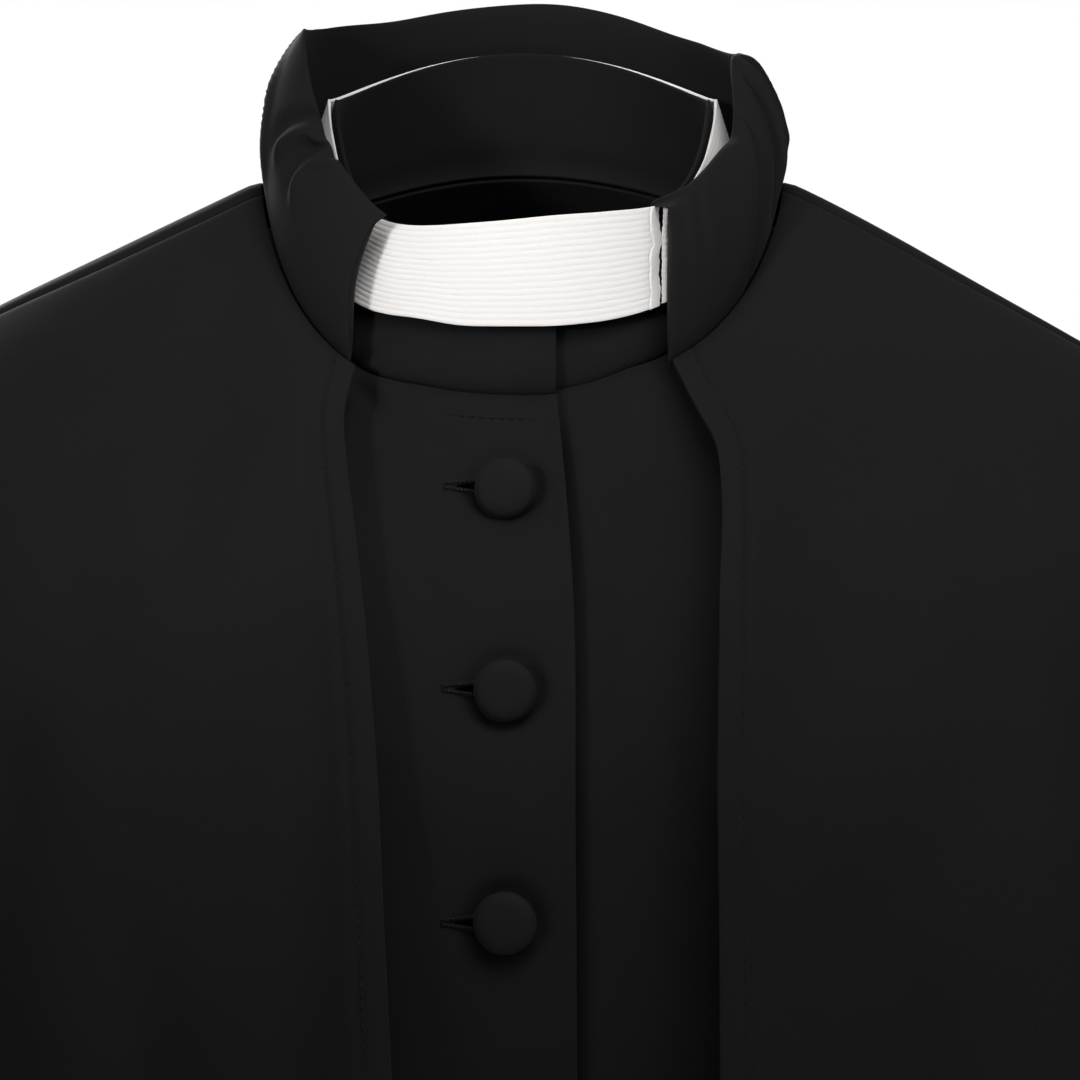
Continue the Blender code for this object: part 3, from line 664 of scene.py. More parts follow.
# Columns: x, rise.
BAND_EDGE = (
    (-0.066, 0.0000),
    (-0.050, 0.0030),
    (-0.037, 0.0037),
    (-0.017, 0.0016),
    (-0.006, 0.0012),
    (0.011, 0.0006),
    (0.030, 0.0002),
    (0.045, 0.0006),
    (0.062, 0.0000),
)
RIB_DEPTH = 0.00019
YARN_PITCH = 0.0006
BAND_WALL = 0.0010
HEM_STRIP = 0.0036
# Columns: height, gap.
END_GAP = (
    (0.00, 0.0006),
    (0.10, 0.0005),
    (0.15, 0.0001),
    (0.22, 0.0004),
    (0.40, 0.0005),
    (0.58, 0.0004),
    (0.62, 0.0000),
    (0.70, 0.0000),
    (0.78, 0.0005),
    (0.90, 0.0006),
    (1.00, 0.0005),
)


def band_place(u, v):
    height = BAND_LOW + (BAND_HIGH - BAND_LOW) * v
    ragged = 0.00010 * np.sin(v * 33) + 0.00008 * np.sin(v * 71 + 1)
    start = stand_angle(height, BAND_MEET + 0.5 * ragged)
    end = 2 * math.pi + stand_angle(height, BAND_MEET - 0.00005 - read_table(END_GAP, v)[0] + ragged)
    angle = start + (end - start) * np.interp(u, (0, 0.09, 0.90, 1), (0, 0.012, 0.986, 1))
    radius = read_straight(STAND_COLLAR, height)[2]
    from_start, from_end = (angle - start) * radius, (end - angle) * radius
    wander = 0.10 * np.sin(angle * 3.1 + v * 2) + 0.07 * np.sin(angle * 9 + 1)
    wander += 0.05 * np.sin(angle * 23 + v * 9)
    rib = (v * RIBS + wander * np.sin(math.pi * v)) % 1.0
    ridge = 1 - np.abs(2 * rib - 1) ** 3.5
    plain = soft_step((from_end - HEM_STRIP) / 0.0005)
    uneven = 1 + 0.25 * np.sin(angle * 31 + np.floor(v * RIBS) * 2.3)
    out = BAND_OUT + RIB_DEPTH * uneven * (ridge - 1) * plain
    out += (1 - plain) * 0.00015 - 0.00035 * bump(from_end - HEM_STRIP, 0.0003)
    out += 0.00025 * np.sin(v * 11 + 1) * bump(from_end, 0.003)
    loop = soft_step((v - 0.70) / 0.22)
    out += (0.0010 + 0.0008 * loop) * bump(from_start - 0.0013, 0.0016)
    out += 0.0006 * bump(angle - 2 * math.pi + 0.70, 0.10) * np.sin(math.pi * v)
    point = stand_point(angle, height, out)
    ahead = np.clip(np.cos(angle) * 4, 0, 1)
    point[..., 2] += read_table(BAND_EDGE, point[..., 0])[0] * (1 - v) * ahead
    point[..., 2] += 0.0010 * v**6 * bump(from_start - 0.0014, 0.0013)
    return point


def cotton_finish(name, colour):
    material, tree, shader = new_material(name, {
        "Roughness": 0.72,
        "Specular IOR Level": 0.30,
        "Sheen Weight": 0.10,
    })
    where = add_node(tree, "UVMap", uv_map="cloth")
    grain = add_node(tree, "TexNoise", {"Scale": 1400.0, "Detail": 2.0})
    yarn = add_node(tree, "TexWave", {"Scale": WAVE_SCALE / YARN_PITCH, "Distortion": 2.0})
    tone = add_node(tree, "MapRange", {"To Min": 0.955, "To Max": 1.02})
    base_colour = add_node(tree, "VectorMath", {0: colour}, operation="SCALE")
    height = add_node(tree, "Math", operation="ADD")
    relief = add_node(tree, "Bump", {"Strength": 0.30, "Distance": 0.0001})
    connect(
        tree,
        (where, "UV", grain, "Vector"),
        (where, "UV", yarn, "Vector"),
        (grain, "Fac", tone, "Value"),
        (tone, "Result", base_colour, "Scale"),
        (base_colour, "Vector", shader, "Base Color"),
        (grain, "Fac", height, 0),
        (yarn, "Fac", height, 1),
        (height, 0, relief, "Height"),
        (relief, "Normal", shader, "Normal"),
    )
    return material


white_cotton = cotton_finish("white_ribbed_cotton", (0.835, 0.810, 0.795))
band = panel("white_neck_band", 300, 112, band_place, BAND_WALL, white_cotton)
band.modifiers["turned_edge"].width = 0.0002
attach(band, "root")
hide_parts("clerical_band")

# ---------------------------------------------------------------------------------------
# Cape. The same matte cloth, cut as two fronts and a back, joined over the shoulders and
# down the arms. The fronts hang apart; each front edge is turned in and stitched down.
# Columns: drop, front_y, side_x, side_z, back_y, back_z, square, flat.
CAPE = (
    (0.0690, -0.0770, 0.0840, 0.0000, 0.0620, 0.0180, 2.0, 1.0),
    (0.1050, -0.1000, 0.1300, -0.0220, 0.1000, -0.0300, 2.0, 0.7),
    (0.1500, -0.1270, 0.1750, -0.0440, 0.1280, -0.0900, 2.1, 0.4),
    (0.2000, -0.1420, 0.2180, -0.0690, 0.1400, -0.1500, 2.2, 0.2),
    (0.2500, -0.1490, 0.2580, -0.1060, 0.1470, -0.2100, 2.2, 0.1),
    (0.3000, -0.1530, 0.2920, -0.1760, 0.1520, -0.2750, 2.2, 0.0),
    (0.3600, -0.1570, 0.3160, -0.2900, 0.1590, -0.3500, 2.2, 0.0),
    (0.4200, -0.1600, 0.3280, -0.4100, 0.1660, -0.4300, 2.2, 0.0),
)
CAPE_TILT = 0.06
CAPE_SEAM = math.radians(84)
CAPE_SEAM_GAP = 0.0012
CAPE_FOLDS = (
    (48.0, 8.0, 0.007, 0.20),
    (84.0, 9.0, 0.009, 0.19),
    (124.0, 9.0, 0.013, 0.17),
    (158.0, 8.0, 0.012, 0.14),
    (190.0, 8.5, 0.014, 0.14),
    (226.0, 9.0, 0.012, 0.17),
    (272.0, 9.0, 0.009, 0.19),
    (318.0, 9.0, 0.008, 0.16),
)
# Columns: drop, right_edge, left_edge, lift_right, lift_left.
CAPE_EDGE = (
    (0.0600, 0.0520, 0.0470, 0.0000, 0.0000),
    (0.0780, 0.0550, 0.0535, 0.0010, 0.0050),
    (0.0900, 0.0540, 0.0580, 0.0015, 0.0095),
    (0.1110, 0.0510, 0.0602, 0.0020, 0.0130),
    (0.1400, 0.0472, 0.0590, 0.0030, 0.0125),
    (0.1860, 0.0430, 0.0582, 0.0045, 0.0080),
    (0.2320, 0.0406, 0.0588, 0.0060, 0.0050),
    (0.2800, 0.0380, 0.0590, 0.0080, 0.0040),
    (0.4300, 0.0330, 0.0600, 0.0090, 0.0060),
)
LIFT_REACH = 0.030
CAPE_CREASES = (
    (-0.0900, -0.022, -0.1110, -0.125, 0.003, 0.0100, 0.0034),
    (-0.0750, -0.040, -0.0980, -0.110, 0.002, 0.0070, 0.0014),
    (-0.1500, -0.150, -0.1650, -0.300, -0.004, 0.0120, 0.0036),
    (-0.1150, -0.220, -0.1200, -0.400, 0.004, 0.0130, 0.0028),
    (0.1700, -0.120, 0.1760, -0.330, 0.003, 0.0100, 0.0040),
    (0.1150, -0.190, 0.1220, -0.390, -0.004, 0.0130, 0.0022),
    (0.0950, -0.060, 0.1050, -0.160, -0.003, 0.0120, 0.0014),
    (-0.0620, -0.130, -0.0700, -0.330, 0.003, 0.0110, 0.0016),
    (-0.1380, -0.060, -0.1240, -0.190, -0.004, 0.0140, 0.0016),
    (0.0980, -0.200, 0.0860, -0.330, 0.003, 0.0120, 0.0014),
    (0.1350, -0.090, 0.1500, -0.210, 0.004, 0.0140, 0.0014),
    (0.2150, -0.120, 0.2450, -0.380, 0.006, 0.0120, 0.0035),
    (-0.2100, -0.110, -0.2450, -0.370, -0.006, 0.0120, 0.0035),
)
EDGE_STITCH_IN = 0.0078


def cape(angle, drop):
    return draped(CAPE, CAPE_FOLDS, angle, drop, CAPE_TILT)


def cape_edge_angle(side, drop):
    """The angle of a front edge, where the cape is as far out as the edge table says."""
    column = 0 if side < 0 else 1

    def inside(angle):
        point = cape(angle, drop)
        return side * point[..., 0] < read_table(CAPE_EDGE, -point[..., 2])[column]

    return edge_angle(side, drop, inside)


def cape_front(side, angle, drop, extra=0.0):
    """A point of a cape front, with its lifted and stitched edge."""
    edge_point = cape(cape_edge_angle(side, drop), drop)
    point = cape(angle, drop)
    away = np.linalg.norm(point - edge_point, axis=-1)
    lift = read_table(CAPE_EDGE, -edge_point[..., 2])[2 if side < 0 else 3]
    out = lift * bump(away, LIFT_REACH) + extra
    out += 0.0005 * (1 - soft_step((away - EDGE_STITCH_IN) / 0.0012))
    out -= 0.00045 * bump(away - EDGE_STITCH_IN - 0.0003, 0.0008)
    out += 0.0004 * bump(away - EDGE_STITCH_IN - 0.004, 0.0022)
    out += creased(CAPE_CREASES, point[..., 0], point[..., 2]) * soft_step(away / 0.02)
    out += sunk_seam(drop - CAPE[0][0], 0.0018, 0.0009) + sunk_seam(CAPE[-1][0] - drop, 0.004, 0.0006)
    out += sunk_seam((CAPE_SEAM - np.abs(angle)) * 0.14, 0.0016, 0.0011)
    return raised(cape, angle, drop, out)


def cape_drop(v):
    return np.interp(1 - v, (0.0, 0.72, 1.0), (CAPE[0][0], 0.29, CAPE[-1][0]))


def cape_front_place(side):
    def place(u, v):
        drop = cape_drop(v)
        seam = side * (CAPE_SEAM - CAPE_SEAM_GAP)
        edge = cape_edge_angle(side, drop)
        share = u if side > 0 else 1 - u
        return cape_front(side, edge + (seam - edge) * share**1.35, drop)

    return place


cape_cloth = cloth_with_painted_shade("cape_cloth", BLACK_DYE, 0.80)
for side, half in ((-1, "right"), (1, "left")):
    cape_half = panel("cape_front_" + half + "_cloth", 112, 150, cape_front_place(side), WALL, cape_cloth)
    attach(cape_half, "root")
    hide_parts("cape_front_" + half)


CAPE_BACK_CREASES = (
    (-0.0700, -0.040, -0.1100, -0.240, 0.006, 0.0110, 0.0026),
    (0.0750, -0.050, 0.1000, -0.260, -0.006, 0.0110, 0.0026),
    (0.0100, -0.120, 0.0150, -0.330, 0.003, 0.0130, 0.0022),
    (-0.1600, -0.130, -0.1900, -0.360, 0.006, 0.0130, 0.0034),
    (0.1650, -0.140, 0.2000, -0.370, -0.005, 0.0130, 0.0034),
)


def cape_back_place(u, v):
    drop = cape_drop(v)
    start = CAPE_SEAM + CAPE_SEAM_GAP
    end = 2 * math.pi - start
    angle = start + (end - start) * u
    point = cape(angle, drop)
    out = creased(CAPE_BACK_CREASES, point[..., 0], point[..., 2])
    out += sunk_seam((angle - start) * 0.14, 0.0016, 0.0011)
    out += sunk_seam((end - angle) * 0.14, 0.0016, 0.0011)
    out += sunk_seam(drop - CAPE[0][0], 0.0018, 0.0009) + sunk_seam(CAPE[-1][0] - drop, 0.004, 0.0006)
    return raised(cape, angle, drop, out)


cape_back = panel("cape_back_cloth", 150, 110, cape_back_place, WALL, cape_cloth)
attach(cape_back, "root")
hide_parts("cape_back")

# ---------------------------------------------------------------------------------------
# Padded collar of the cape. Black cloth over a soft roll of wadding, sewn to the cape's
# neck edge and open at the front. It buckles into soft folds where it turns round the
# neck, and folds back over itself at the wearer's left.
CAPE_COLLAR = (
    (0.0, -0.0770, -0.0690, 0.0840, 0.0000, 0.0620, 0.0180, 3.0),
    (0.5, -0.0735, -0.0425, 0.0828, 0.0210, 0.0610, 0.0400, 3.0),
    (1.0, -0.0680, -0.0190, 0.0765, 0.0430, 0.0570, 0.0600, 3.0),
)
COLLAR_LEFT_LOW = 0.08
COLLAR_PAD = 0.0070
# Columns: height, right_end, left_end.
COLLAR_END = (
    (0.00, 0.0547, 0.0466),
    (0.45, 0.0541, 0.0470),
    (0.80, 0.0492, 0.0474),
    (0.90, 0.0472, 0.0470),
    (1.00, 0.0432, 0.0478),
)
# Columns: angle0, height0, angle1, height1, bow, width, depth.
COLLAR_FOLDS = (
    (-53.0, 1.05, -62.5, 0.50, 2.5, 1.7, 0.0022),
    (-57.5, 1.05, -73.0, 0.48, 3.0, 1.9, 0.0024),
    (-98.0, 1.00, -78.0, 0.12, 3.0, 2.2, 0.0020),
    (-112.0, 1.02, -88.0, 0.58, 2.0, 2.6, 0.0022),
    (84.0, 1.02, 75.5, 0.15, -2.0, 1.5, 0.0030),
    (92.0, 1.02, 83.0, 0.22, -2.0, 1.7, 0.0030),
    (103.0, 1.02, 93.0, 0.45, -2.0, 2.6, 0.0016),
    (43.0, 0.98, 41.5, 0.40, 0.6, 1.3, 0.0002),
    (49.0, 0.98, 47.5, 0.45, 0.8, 1.5, 0.0003),
    (130.0, 1.00, 124.0, 0.35, 3.0, 4.0, 0.0013),
    (158.0, 1.00, 163.0, 0.45, -3.0, 4.0, 0.0011),
    (-162.0, 1.00, -168.0, 0.40, 3.0, 4.0, 0.0013),
    (-132.0, 1.00, -127.0, 0.40, -3.0, 4.0, 0.0012),
)
# Columns: angle, reach, outer, inner, power.
COLLAR_LEANS = (
    (-100.0, 42.0, 0.0058, 0.0018, 2.6),
    (98.0, 24.0, 0.0030, 0.0000, 3.2),
    (86.0, 13.0, 0.0000, 0.0062, 1.6),
)
# Columns: angle, reach, rise.
RIM_WAVES = (
    (-37.0, 7.0, -0.0012),
    (33.0, 6.0, 0.0012),
    (69.0, 7.0, -0.0052),
    (97.0, 15.0, 0.0034),
    (-55.5, 1.5, -0.0018),
    (-60.5, 1.7, -0.0016),
    (-66.0, 4.0, 0.0010),
    (140.0, 12.0, -0.0012),
    (-145.0, 14.0, -0.0012),
    (172.0, 14.0, 0.0010),
)


def turned(angle):
    """The angle from the centre front in degrees, from -180 to 180."""
    return (np.degrees(angle) + 180) % 360 - 180


def collar_folds(angle, height):
    """Soft folds of the padded collar: a ridge with a trough beside it, in degrees and height."""
    out = np.zeros_like(angle)
    for a0, h0, a1, h1, bow, width, depth in COLLAR_FOLDS:
        t = (h0 - height) / (h0 - h1)
        line = a0 + (a1 - a0) * t + bow * 4 * t * (1 - t) * (1 if a1 > a0 else -1)
        away = turned(angle - np.radians(line))
        fade = soft_step(t * 3 + 0.6) * soft_step((1.15 - t) * 2.2)
        out += fade * depth * (bump(away, width) - 0.9 * bump(away + 1.7 * width, 1.1 * width))
    return out


def fold_line(height):
    return 58.5 + 13.5 * height**1.4


def fold_over(angle, height):
    """The step at the wearer's left, where the front of the collar lies over the rest."""
    away = turned(angle) - fold_line(height)
    proud = 0.0010 * soft_step((away + 13) / 11) * (1 - soft_step((away + 0.15) / 0.45))
    groove = -0.0034 * bump(away - 0.8, 0.65)
    sunk = -0.0006 * soft_step(away / 0.4) * (1 - soft_step((away - 2.0) / 7))
    return (proud + groove + sunk) * soft_step(height * 3 + 0.2)


def cape_collar_place(u, v):
    section = 2 * math.pi * v
    c, s = -np.cos(section), np.sin(section)
    square = 3.4
    radius = (np.abs(c) ** square + np.abs(s) ** square) ** (-1 / square)
    height = -0.012 + 1.012 * (0.5 + 0.5 * radius * c)
    columns = read_table(CAPE_COLLAR, height)
    right_end, left_end = read_table(COLLAR_END, height)
    start = np.arcsin(left_end / columns[2])
    end = 2 * math.pi - np.arcsin(right_end / columns[2])
    fold = np.radians(fold_line(np.clip(height, 0, 1)))
    near, far = np.clip(u / 0.3, 0, 1), np.clip((u - 0.3) / 0.7, 0, 1)
    angle = start + (fold - start) * (near - 0.11 * np.sin(2 * math.pi * near))
    angle += (end - fold) * (far - 0.13 * np.sin(2 * math.pi * far))
    from_end = np.minimum(angle - start, end - angle) * columns[2]
    plump = np.sqrt(np.clip(1 - (1 - np.clip(from_end / 0.0045, 0, 1)) ** 2, 0, 1))
    face = np.clip(height, 0, 1)
    pad = COLLAR_PAD * (0.86 + 0.14 * np.sin(math.pi * face)) * plump
    outer = -0.0006 * (1 - plump)
    inner = outer - pad
    for at, reach, outer_lean, inner_lean, power in COLLAR_LEANS:
        share = bump(turned(angle - math.radians(at)), reach) * face**power
        outer = outer - outer_lean * share
        inner = inner - (inner_lean * plump + outer_lean * (1 - plump)) * share
    side_out = radius * s
    out = (outer + inner) / 2 + (outer - inner) / 2 * side_out
    out += (collar_folds(angle, face) + fold_over(angle, face)) * soft_step(side_out * 0.9 + 0.35) * plump
    tip = soft_step(1 - (angle - start) * columns[2] / 0.0085) * soft_step((face - 0.93) / 0.05)
    out -= 0.0105 * tip
    point = collar_point(columns, CAPE_TILT, angle, out)
    point[..., 2] -= COLLAR_LEFT_LOW * face * point[..., 0] * np.sin(angle) ** 2 + 0.0016 * tip
    for at, reach, rise in RIM_WAVES:
        point[..., 2] += rise * bump(turned(angle - math.radians(at)), reach) * face**3
    point[..., 2] -= 0.0010 * bump(face, 0.05)
    return point


def close_collar(bm):
    bmesh.ops.remove_doubles(bm, verts=bm.verts[:], dist=1e-5)
    bmesh.ops.recalc_face_normals(bm, faces=bm.faces[:])


padded_cloth = cloth_with_painted_shade("padded_collar_cloth", BLACK_DYE, 0.80)
collar = panel("cape_padded_collar", 520, 84, cape_collar_place, 0, padded_cloth, close_collar)
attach(collar, "root")
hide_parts("cape_collar")

# ---------------------------------------------------------------------------------------
# Stitching. Black polyester thread: rows along the cape's front edges, under the neck
# seam at the placket and round the hems, each stitch sunk a little in the cloth, and a row
# of white ones on the band's hemmed end.
def thread_finish(name, colour, roughness, shine):
    material, tree, shader = new_material(name, {
        "Base Color": (*colour, 1),
        "Roughness": roughness,
        "Specular IOR Level": shine,
    })
    place = add_node(tree, "TexCoord")
    ply = add_node(tree, "TexNoise", {"Scale": 4000.0})
    relief = add_node(tree, "Bump", {"Strength": 0.4, "Distance": 0.0001})
    connect(
        tree,
        (place, "Object", ply, "Vector"),
        (ply, "Fac", relief, "Height"),
        (relief, "Normal", shader, "Normal"),
    )
    return material


def bead_row(points, pitch, size, slant=0.0):
    """A row of small beads of thread bent along a line of points, as one mesh."""
    points = np.asarray(points)
    length = np.linalg.norm(np.diff(points, axis=0), axis=1).sum()
    curve = bpy.data.curves.new("row_line", "CURVE")
    curve.dimensions = "3D"
    line = curve.splines.new("POLY")
    line.points.add(len(points) - 1)
    line.points.foreach_set("co", np.column_stack([points, np.ones(len(points))]).ravel())
    path = bpy.data.objects.new("row_line", curve)
    bm = bmesh.new()
    bmesh.ops.create_icosphere(bm, subdivisions=1, radius=1)
    shape = Matrix.Rotation(slant, 4, "Y") @ Matrix.Diagonal((*size, 1))
    bmesh.ops.transform(bm, matrix=Matrix.Translation((pitch / 2, 0, 0)) @ shape, verts=bm.verts)
    bead = new_piece("bead", bm)
    bpy.context.scene.collection.objects.link(path)
    copies = bead.modifiers.new("copies", "ARRAY")
    copies.use_relative_offset, copies.use_constant_offset = False, True
    copies.constant_offset_displace = (pitch, 0, 0)
    copies.count = max(1, int(length / pitch))
    along = bead.modifiers.new("along", "CURVE")
    along.object, along.deform_axis = path, "POS_X"
    bpy.context.view_layer.update()
    graph = bpy.context.evaluated_depsgraph_get()
    row = bpy.data.meshes.new_from_object(bead.evaluated_get(graph))
    for helper in (path, bead):
        bpy.data.objects.remove(helper, do_unlink=True)
    return row


def joined(name, rows, material):
    """One piece made of several rows."""
    bm = bmesh.new()
    for row in rows:
        bm.from_mesh(row)
        bpy.data.meshes.remove(row)
    piece = new_piece(name, bm, material)
    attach(piece, "root")
    return piece


STITCH_PITCH, STITCH_SIZE = 0.0031, (0.00110, 0.00020, 0.00020)
black_thread = thread_finish("black_thread", (0.0068, 0.0068, 0.0074), 0.55, 0.24)
white_thread = thread_finish("white_thread", (0.78, 0.76, 0.75), 0.6, 0.3)
cape_rows = []
for side in (-1, 1):
    drop = np.linspace(CAPE[0][0] + 0.0015, CAPE[-1][0] - 0.001, 260)
    edge = cape_edge_angle(side, drop)
    speed = np.linalg.norm(cape(edge + 1e-3, drop) - cape(edge - 1e-3, drop), axis=1) / 2e-3
    cape_rows.append(bead_row(
        cape_front(side, edge + side * EDGE_STITCH_IN / speed, drop, 0.0001), STITCH_PITCH, STITCH_SIZE
    ))
    across = np.linspace(0.10, 0.99, 260)
    hem_drop = np.full(260, CAPE[-1][0] - 0.012)
    hem_edge = cape_edge_angle(side, hem_drop)
    hem_angle = hem_edge + (side * CAPE_SEAM - hem_edge) * across
    cape_rows.append(bead_row(cape_front(side, hem_angle, hem_drop, 0.0001), STITCH_PITCH, STITCH_SIZE))
joined("cape_edge_stitches", cape_rows, black_thread)

neck_x = np.linspace(-0.0290, 0.0098, 60)
neck_drop = np.full(60, NECK_STITCH_DROP)
neck_row = raised(cassock, angle_of_x(cassock, neck_drop, neck_x), neck_drop, np.full(60, -0.0001))
joined("neck_stitches", [bead_row(neck_row, STITCH_PITCH, STITCH_SIZE)], black_thread)

level = np.linspace(0.02, 0.98, 30)
band_height = BAND_LOW + (BAND_HIGH - BAND_LOW) * level
band_angle = stand_angle(band_height, np.full(30, BAND_MEET - 0.0004 - HEM_STRIP * 0.72))
band_row = bead_row(
    stand_point(band_angle, band_height, BAND_OUT + 0.0001), 0.0021, (0.0008, 0.00015, 0.00015)
)
joined("band_stitches", [band_row], white_thread)

# ---------------------------------------------------------------------------------------
# Buttonholes. Seventeen worked holes in the right front, each 20 mm long: two lips of
# slanting black thread that meet in a bar at the outer end and open towards the button.
# The dark of each opening is painted shade: a thin near-black wedge laid just over the cloth.
HOLE_OUTER, HOLE_INNER = -0.0240, -0.0080
HOLE_BEAD = (0.00034, 0.00034, 0.00078)


def on_front(x, z, out):
    """A point on the right front at this x and z, a little proud of the cloth."""
    drop = -np.asarray(z, float)
    for _ in range(8):
        angle = angle_of_x(cassock, drop, x)
        drop = drop - (z - cassock(angle, drop)[..., 2])
    return raised(cassock, angle, drop, np.full_like(drop, out))


hole_rows = []
slit = bmesh.new()
for number, centre in enumerate(BUTTON_CENTRES):
    x = np.linspace(HOLE_OUTER, HOLE_INNER, 14)
    spread = 0.00072 + 0.0021 * np.linspace(0, 1, 14) ** 1.2
    for way in (-1, 1):
        lip = on_front(x, centre[2] + way * spread, 0.0001)
        hole_rows.append(bead_row(lip, 0.00078, HOLE_BEAD, way * 0.45))
    bar_z = centre[2] + np.linspace(-0.0013, 0.0013, 4)
    bar = on_front(np.full(4, HOLE_OUTER + 0.0003), bar_z, 0.0002)
    hole_rows.append(bead_row(bar, 0.00055, (0.00028, 0.00034, 0.0008), 0.2))
    # Painted shade: a near-black wedge just over the cloth stands for the dark inside the open slit.
    wedge = bmesh.ops.create_grid(slit, x_segments=8, y_segments=1, size=1)["verts"]
    share = np.array([(vert.co.x + 1) / 2 for vert in wedge])
    lift = np.array([vert.co.y for vert in wedge])
    wedge_x = HOLE_OUTER + 0.0040 + (HOLE_INNER - HOLE_OUTER - 0.0040) * share
    wedge_z = centre[2] + lift * (0.0001 + 0.0021 * share)
    for vert, point in zip(wedge, on_front(wedge_x, wedge_z, 0.00008)):
        vert.co = point
joined("buttonhole_threads", hole_rows, black_thread)
# The slits' near-black matt colour is painted shade, not the colour of any cloth.
slit_shadow = thread_finish("slit_shadow", (0.0006, 0.0006, 0.0007), 1.0, 0.0)
slits = new_piece("buttonhole_slit_shade", slit, slit_shadow)
slit_wall = slits.modifiers.new("wall", "SOLIDIFY")
slit_wall.thickness, slit_wall.offset = 0.00025, -1
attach(slits, "root")

# ---------------------------------------------------------------------------------------
# Buttons. Domed shells of 19 mm covered with the cassock's cloth, which is drawn tight over
# the rim, each sewn to the left front on a short shank.
BUTTON_RADIUS, BUTTON_HEIGHT = 0.0095, 0.0052


def button_shape(centre):
    """A covered dome in its place: a turned profile, its flat side on the front at this centre."""
    drop = -centre[2] * np.ones(1)
    angle = angle_of_x(cassock, drop, centre[:1])
    for _ in range(8):
        drop = drop - (centre[2:] - cassock(angle, drop)[..., 2])
        angle = angle_of_x(cassock, drop, centre[:1])
    outward = Vector(raised(cassock, angle, drop, np.ones(1))[0] - cassock(angle, drop)[0])
    sag = 0.002 * outward.z
    outward.z *= 0.2
    dome = np.linspace(0, 1, 12)[:-1]
    profile = [
        (0.0022, -0.0010),
        (0.0024, 0.0004),
        (BUTTON_RADIUS * 0.90, 0.0002),
        (BUTTON_RADIUS * 0.975, 0.0007),
    ]
    for share in dome:
        turn = share * math.pi / 2
        profile.append((
            BUTTON_RADIUS * math.cos(turn) ** 0.48,
            0.0014 + (BUTTON_HEIGHT - 0.0014) * math.sin(turn) ** 0.62,
        ))
    bm = bmesh.new()
    verts = [bm.verts.new((radius, 0, height)) for radius, height in profile]
    verts.append(bm.verts.new((0, 0, BUTTON_HEIGHT)))
    edges = [bm.edges.new(pair) for pair in zip(verts, verts[1:])]
    bmesh.ops.spin(
        bm, geom=verts + edges, cent=(0, 0, 0), axis=(0, 0, 1), angle=2 * math.pi, steps=40, use_merge=True
    )
    bmesh.ops.remove_doubles(bm, verts=bm.verts[:], dist=1e-6)
    bmesh.ops.holes_fill(bm, edges=[edge for edge in bm.edges if edge.is_boundary], sides=0)
    bmesh.ops.recalc_face_normals(bm, faces=bm.faces[:])
    cloth_map = bm.loops.layers.uv.new("cloth")
    for face in bm.faces:
        for loop in face.loops:
            loop[cloth_map].uv = loop.vert.co.xy
    facing = outward.to_track_quat("Z", "Y").to_matrix().to_4x4()
    seat = Vector(centre) - outward.normalized() * (BUTTON_HEIGHT / 2) - Vector((0.0002, 0, sag))
    bmesh.ops.transform(bm, matrix=Matrix.Translation(seat) @ facing, verts=bm.verts)
    return bm


button_cloth = cloth_with_painted_shade("button_cloth", (0.0070, 0.0070, 0.0076), 0.74)
for number, centre in enumerate(BUTTON_CENTRES, 1):
    button = new_piece(f"covered_button_{number:02d}", button_shape(centre), button_cloth)
    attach(button, "root")
    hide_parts(f"button_{number:02d}")

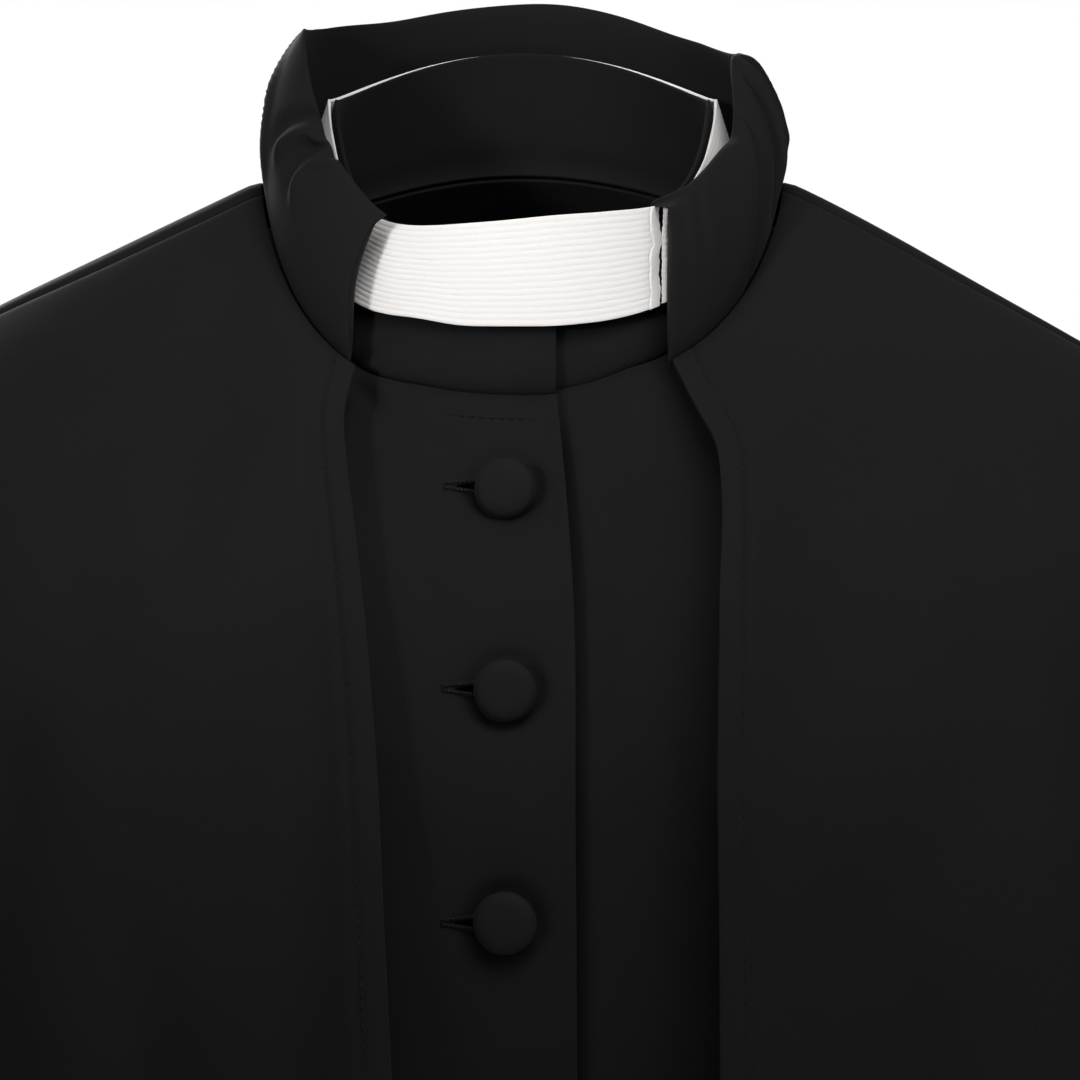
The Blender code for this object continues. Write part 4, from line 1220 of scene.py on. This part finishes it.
# ---------------------------------------------------------------------------------------
# Floor, light and camera: a plain pale floor that glows a little to the camera alone, a
# white surround, a soft light high in front, fills for the collar, the wearer's left, the
# skirt and the back, and a long lens level with the chest.
bpy.ops.mesh.primitive_plane_add(size=12, location=(0, 0, cad_low[2] - 0.004))
floor = bpy.context.object
floor.name = "studio_floor"
floor_paint, floor_tree, floor_shader = new_material("studio_floor", {
    "Base Color": (0.86, 0.86, 0.86, 1),
    "Roughness": 0.9,
    "Emission Color": (1, 1, 1, 1),
})
floor_seen = add_node(floor_tree, "LightPath")
floor_glow = add_node(floor_tree, "Math", {1: 0.78}, operation="MULTIPLY")
connect(
    floor_tree,
    (floor_seen, "Is Camera Ray", floor_glow, 0),
    (floor_glow, 0, floor_shader, "Emission Strength"),
)
floor.data.materials.append(floor_paint)

surround = bpy.data.worlds.new("surround")
bpy.context.scene.world = surround
surround.use_nodes = True
background = surround.node_tree.nodes["Background"]
background.inputs["Color"].default_value = (1, 1, 1, 1)
seen = add_node(surround.node_tree, "LightPath")
strength = add_node(surround.node_tree, "MapRange", {"To Min": 0.19, "To Max": 1.0})
connect(
    surround.node_tree,
    (seen, "Is Camera Ray", strength, "Value"),
    (strength, "Result", background, "Strength"),
)


def soft_light(name, place, aim, width, height, power, spread=180):
    lamp = bpy.data.lights.new(name, "AREA")
    lamp.shape, lamp.size, lamp.size_y, lamp.energy = "RECTANGLE", width, height, power
    lamp.spread = math.radians(spread)
    light = bpy.data.objects.new(name, lamp)
    light.location = place
    light.rotation_euler = (Vector(aim) - Vector(place)).to_track_quat("-Z", "Y").to_euler()
    bpy.context.scene.collection.objects.link(light)


soft_light("key", (0.20, -0.68, 0.72), (0, -0.05, -0.10), 0.8, 0.5, 6.6)
soft_light("skirt_left", (-1.5, -1.6, -0.55), (0, 0, -1.2), 0.6, 0.3, 4.2, 40)
soft_light("skirt_right", (1.0, -2.2, -0.45), (0, 0, -1.2), 0.6, 0.3, 2.8, 36)
soft_light("right_fill", (1.3, -1.2, 0.6), (0.12, 0, -0.05), 0.9, 0.9, 6.5)
soft_light("collar_fill", (-1.2, -1.5, 0.25), (-0.06, -0.05, 0.01), 0.3, 0.3, 0.2, 14)
soft_light("back", (-0.8, 1.8, 0.6), (0, 0.1, -0.6), 1.4, 1.4, 46)

lens = bpy.data.cameras.new("camera")
lens.sensor_width, lens.lens = 36, 221.3
camera = bpy.data.objects.new("camera", lens)
camera.location = (0.0056, -2.13, -0.1155)
camera.rotation_euler = (math.pi / 2, 0, 0)
bpy.context.scene.collection.objects.link(camera)
bpy.context.scene.camera = camera
bpy.context.scene.view_settings.view_transform = "Standard"
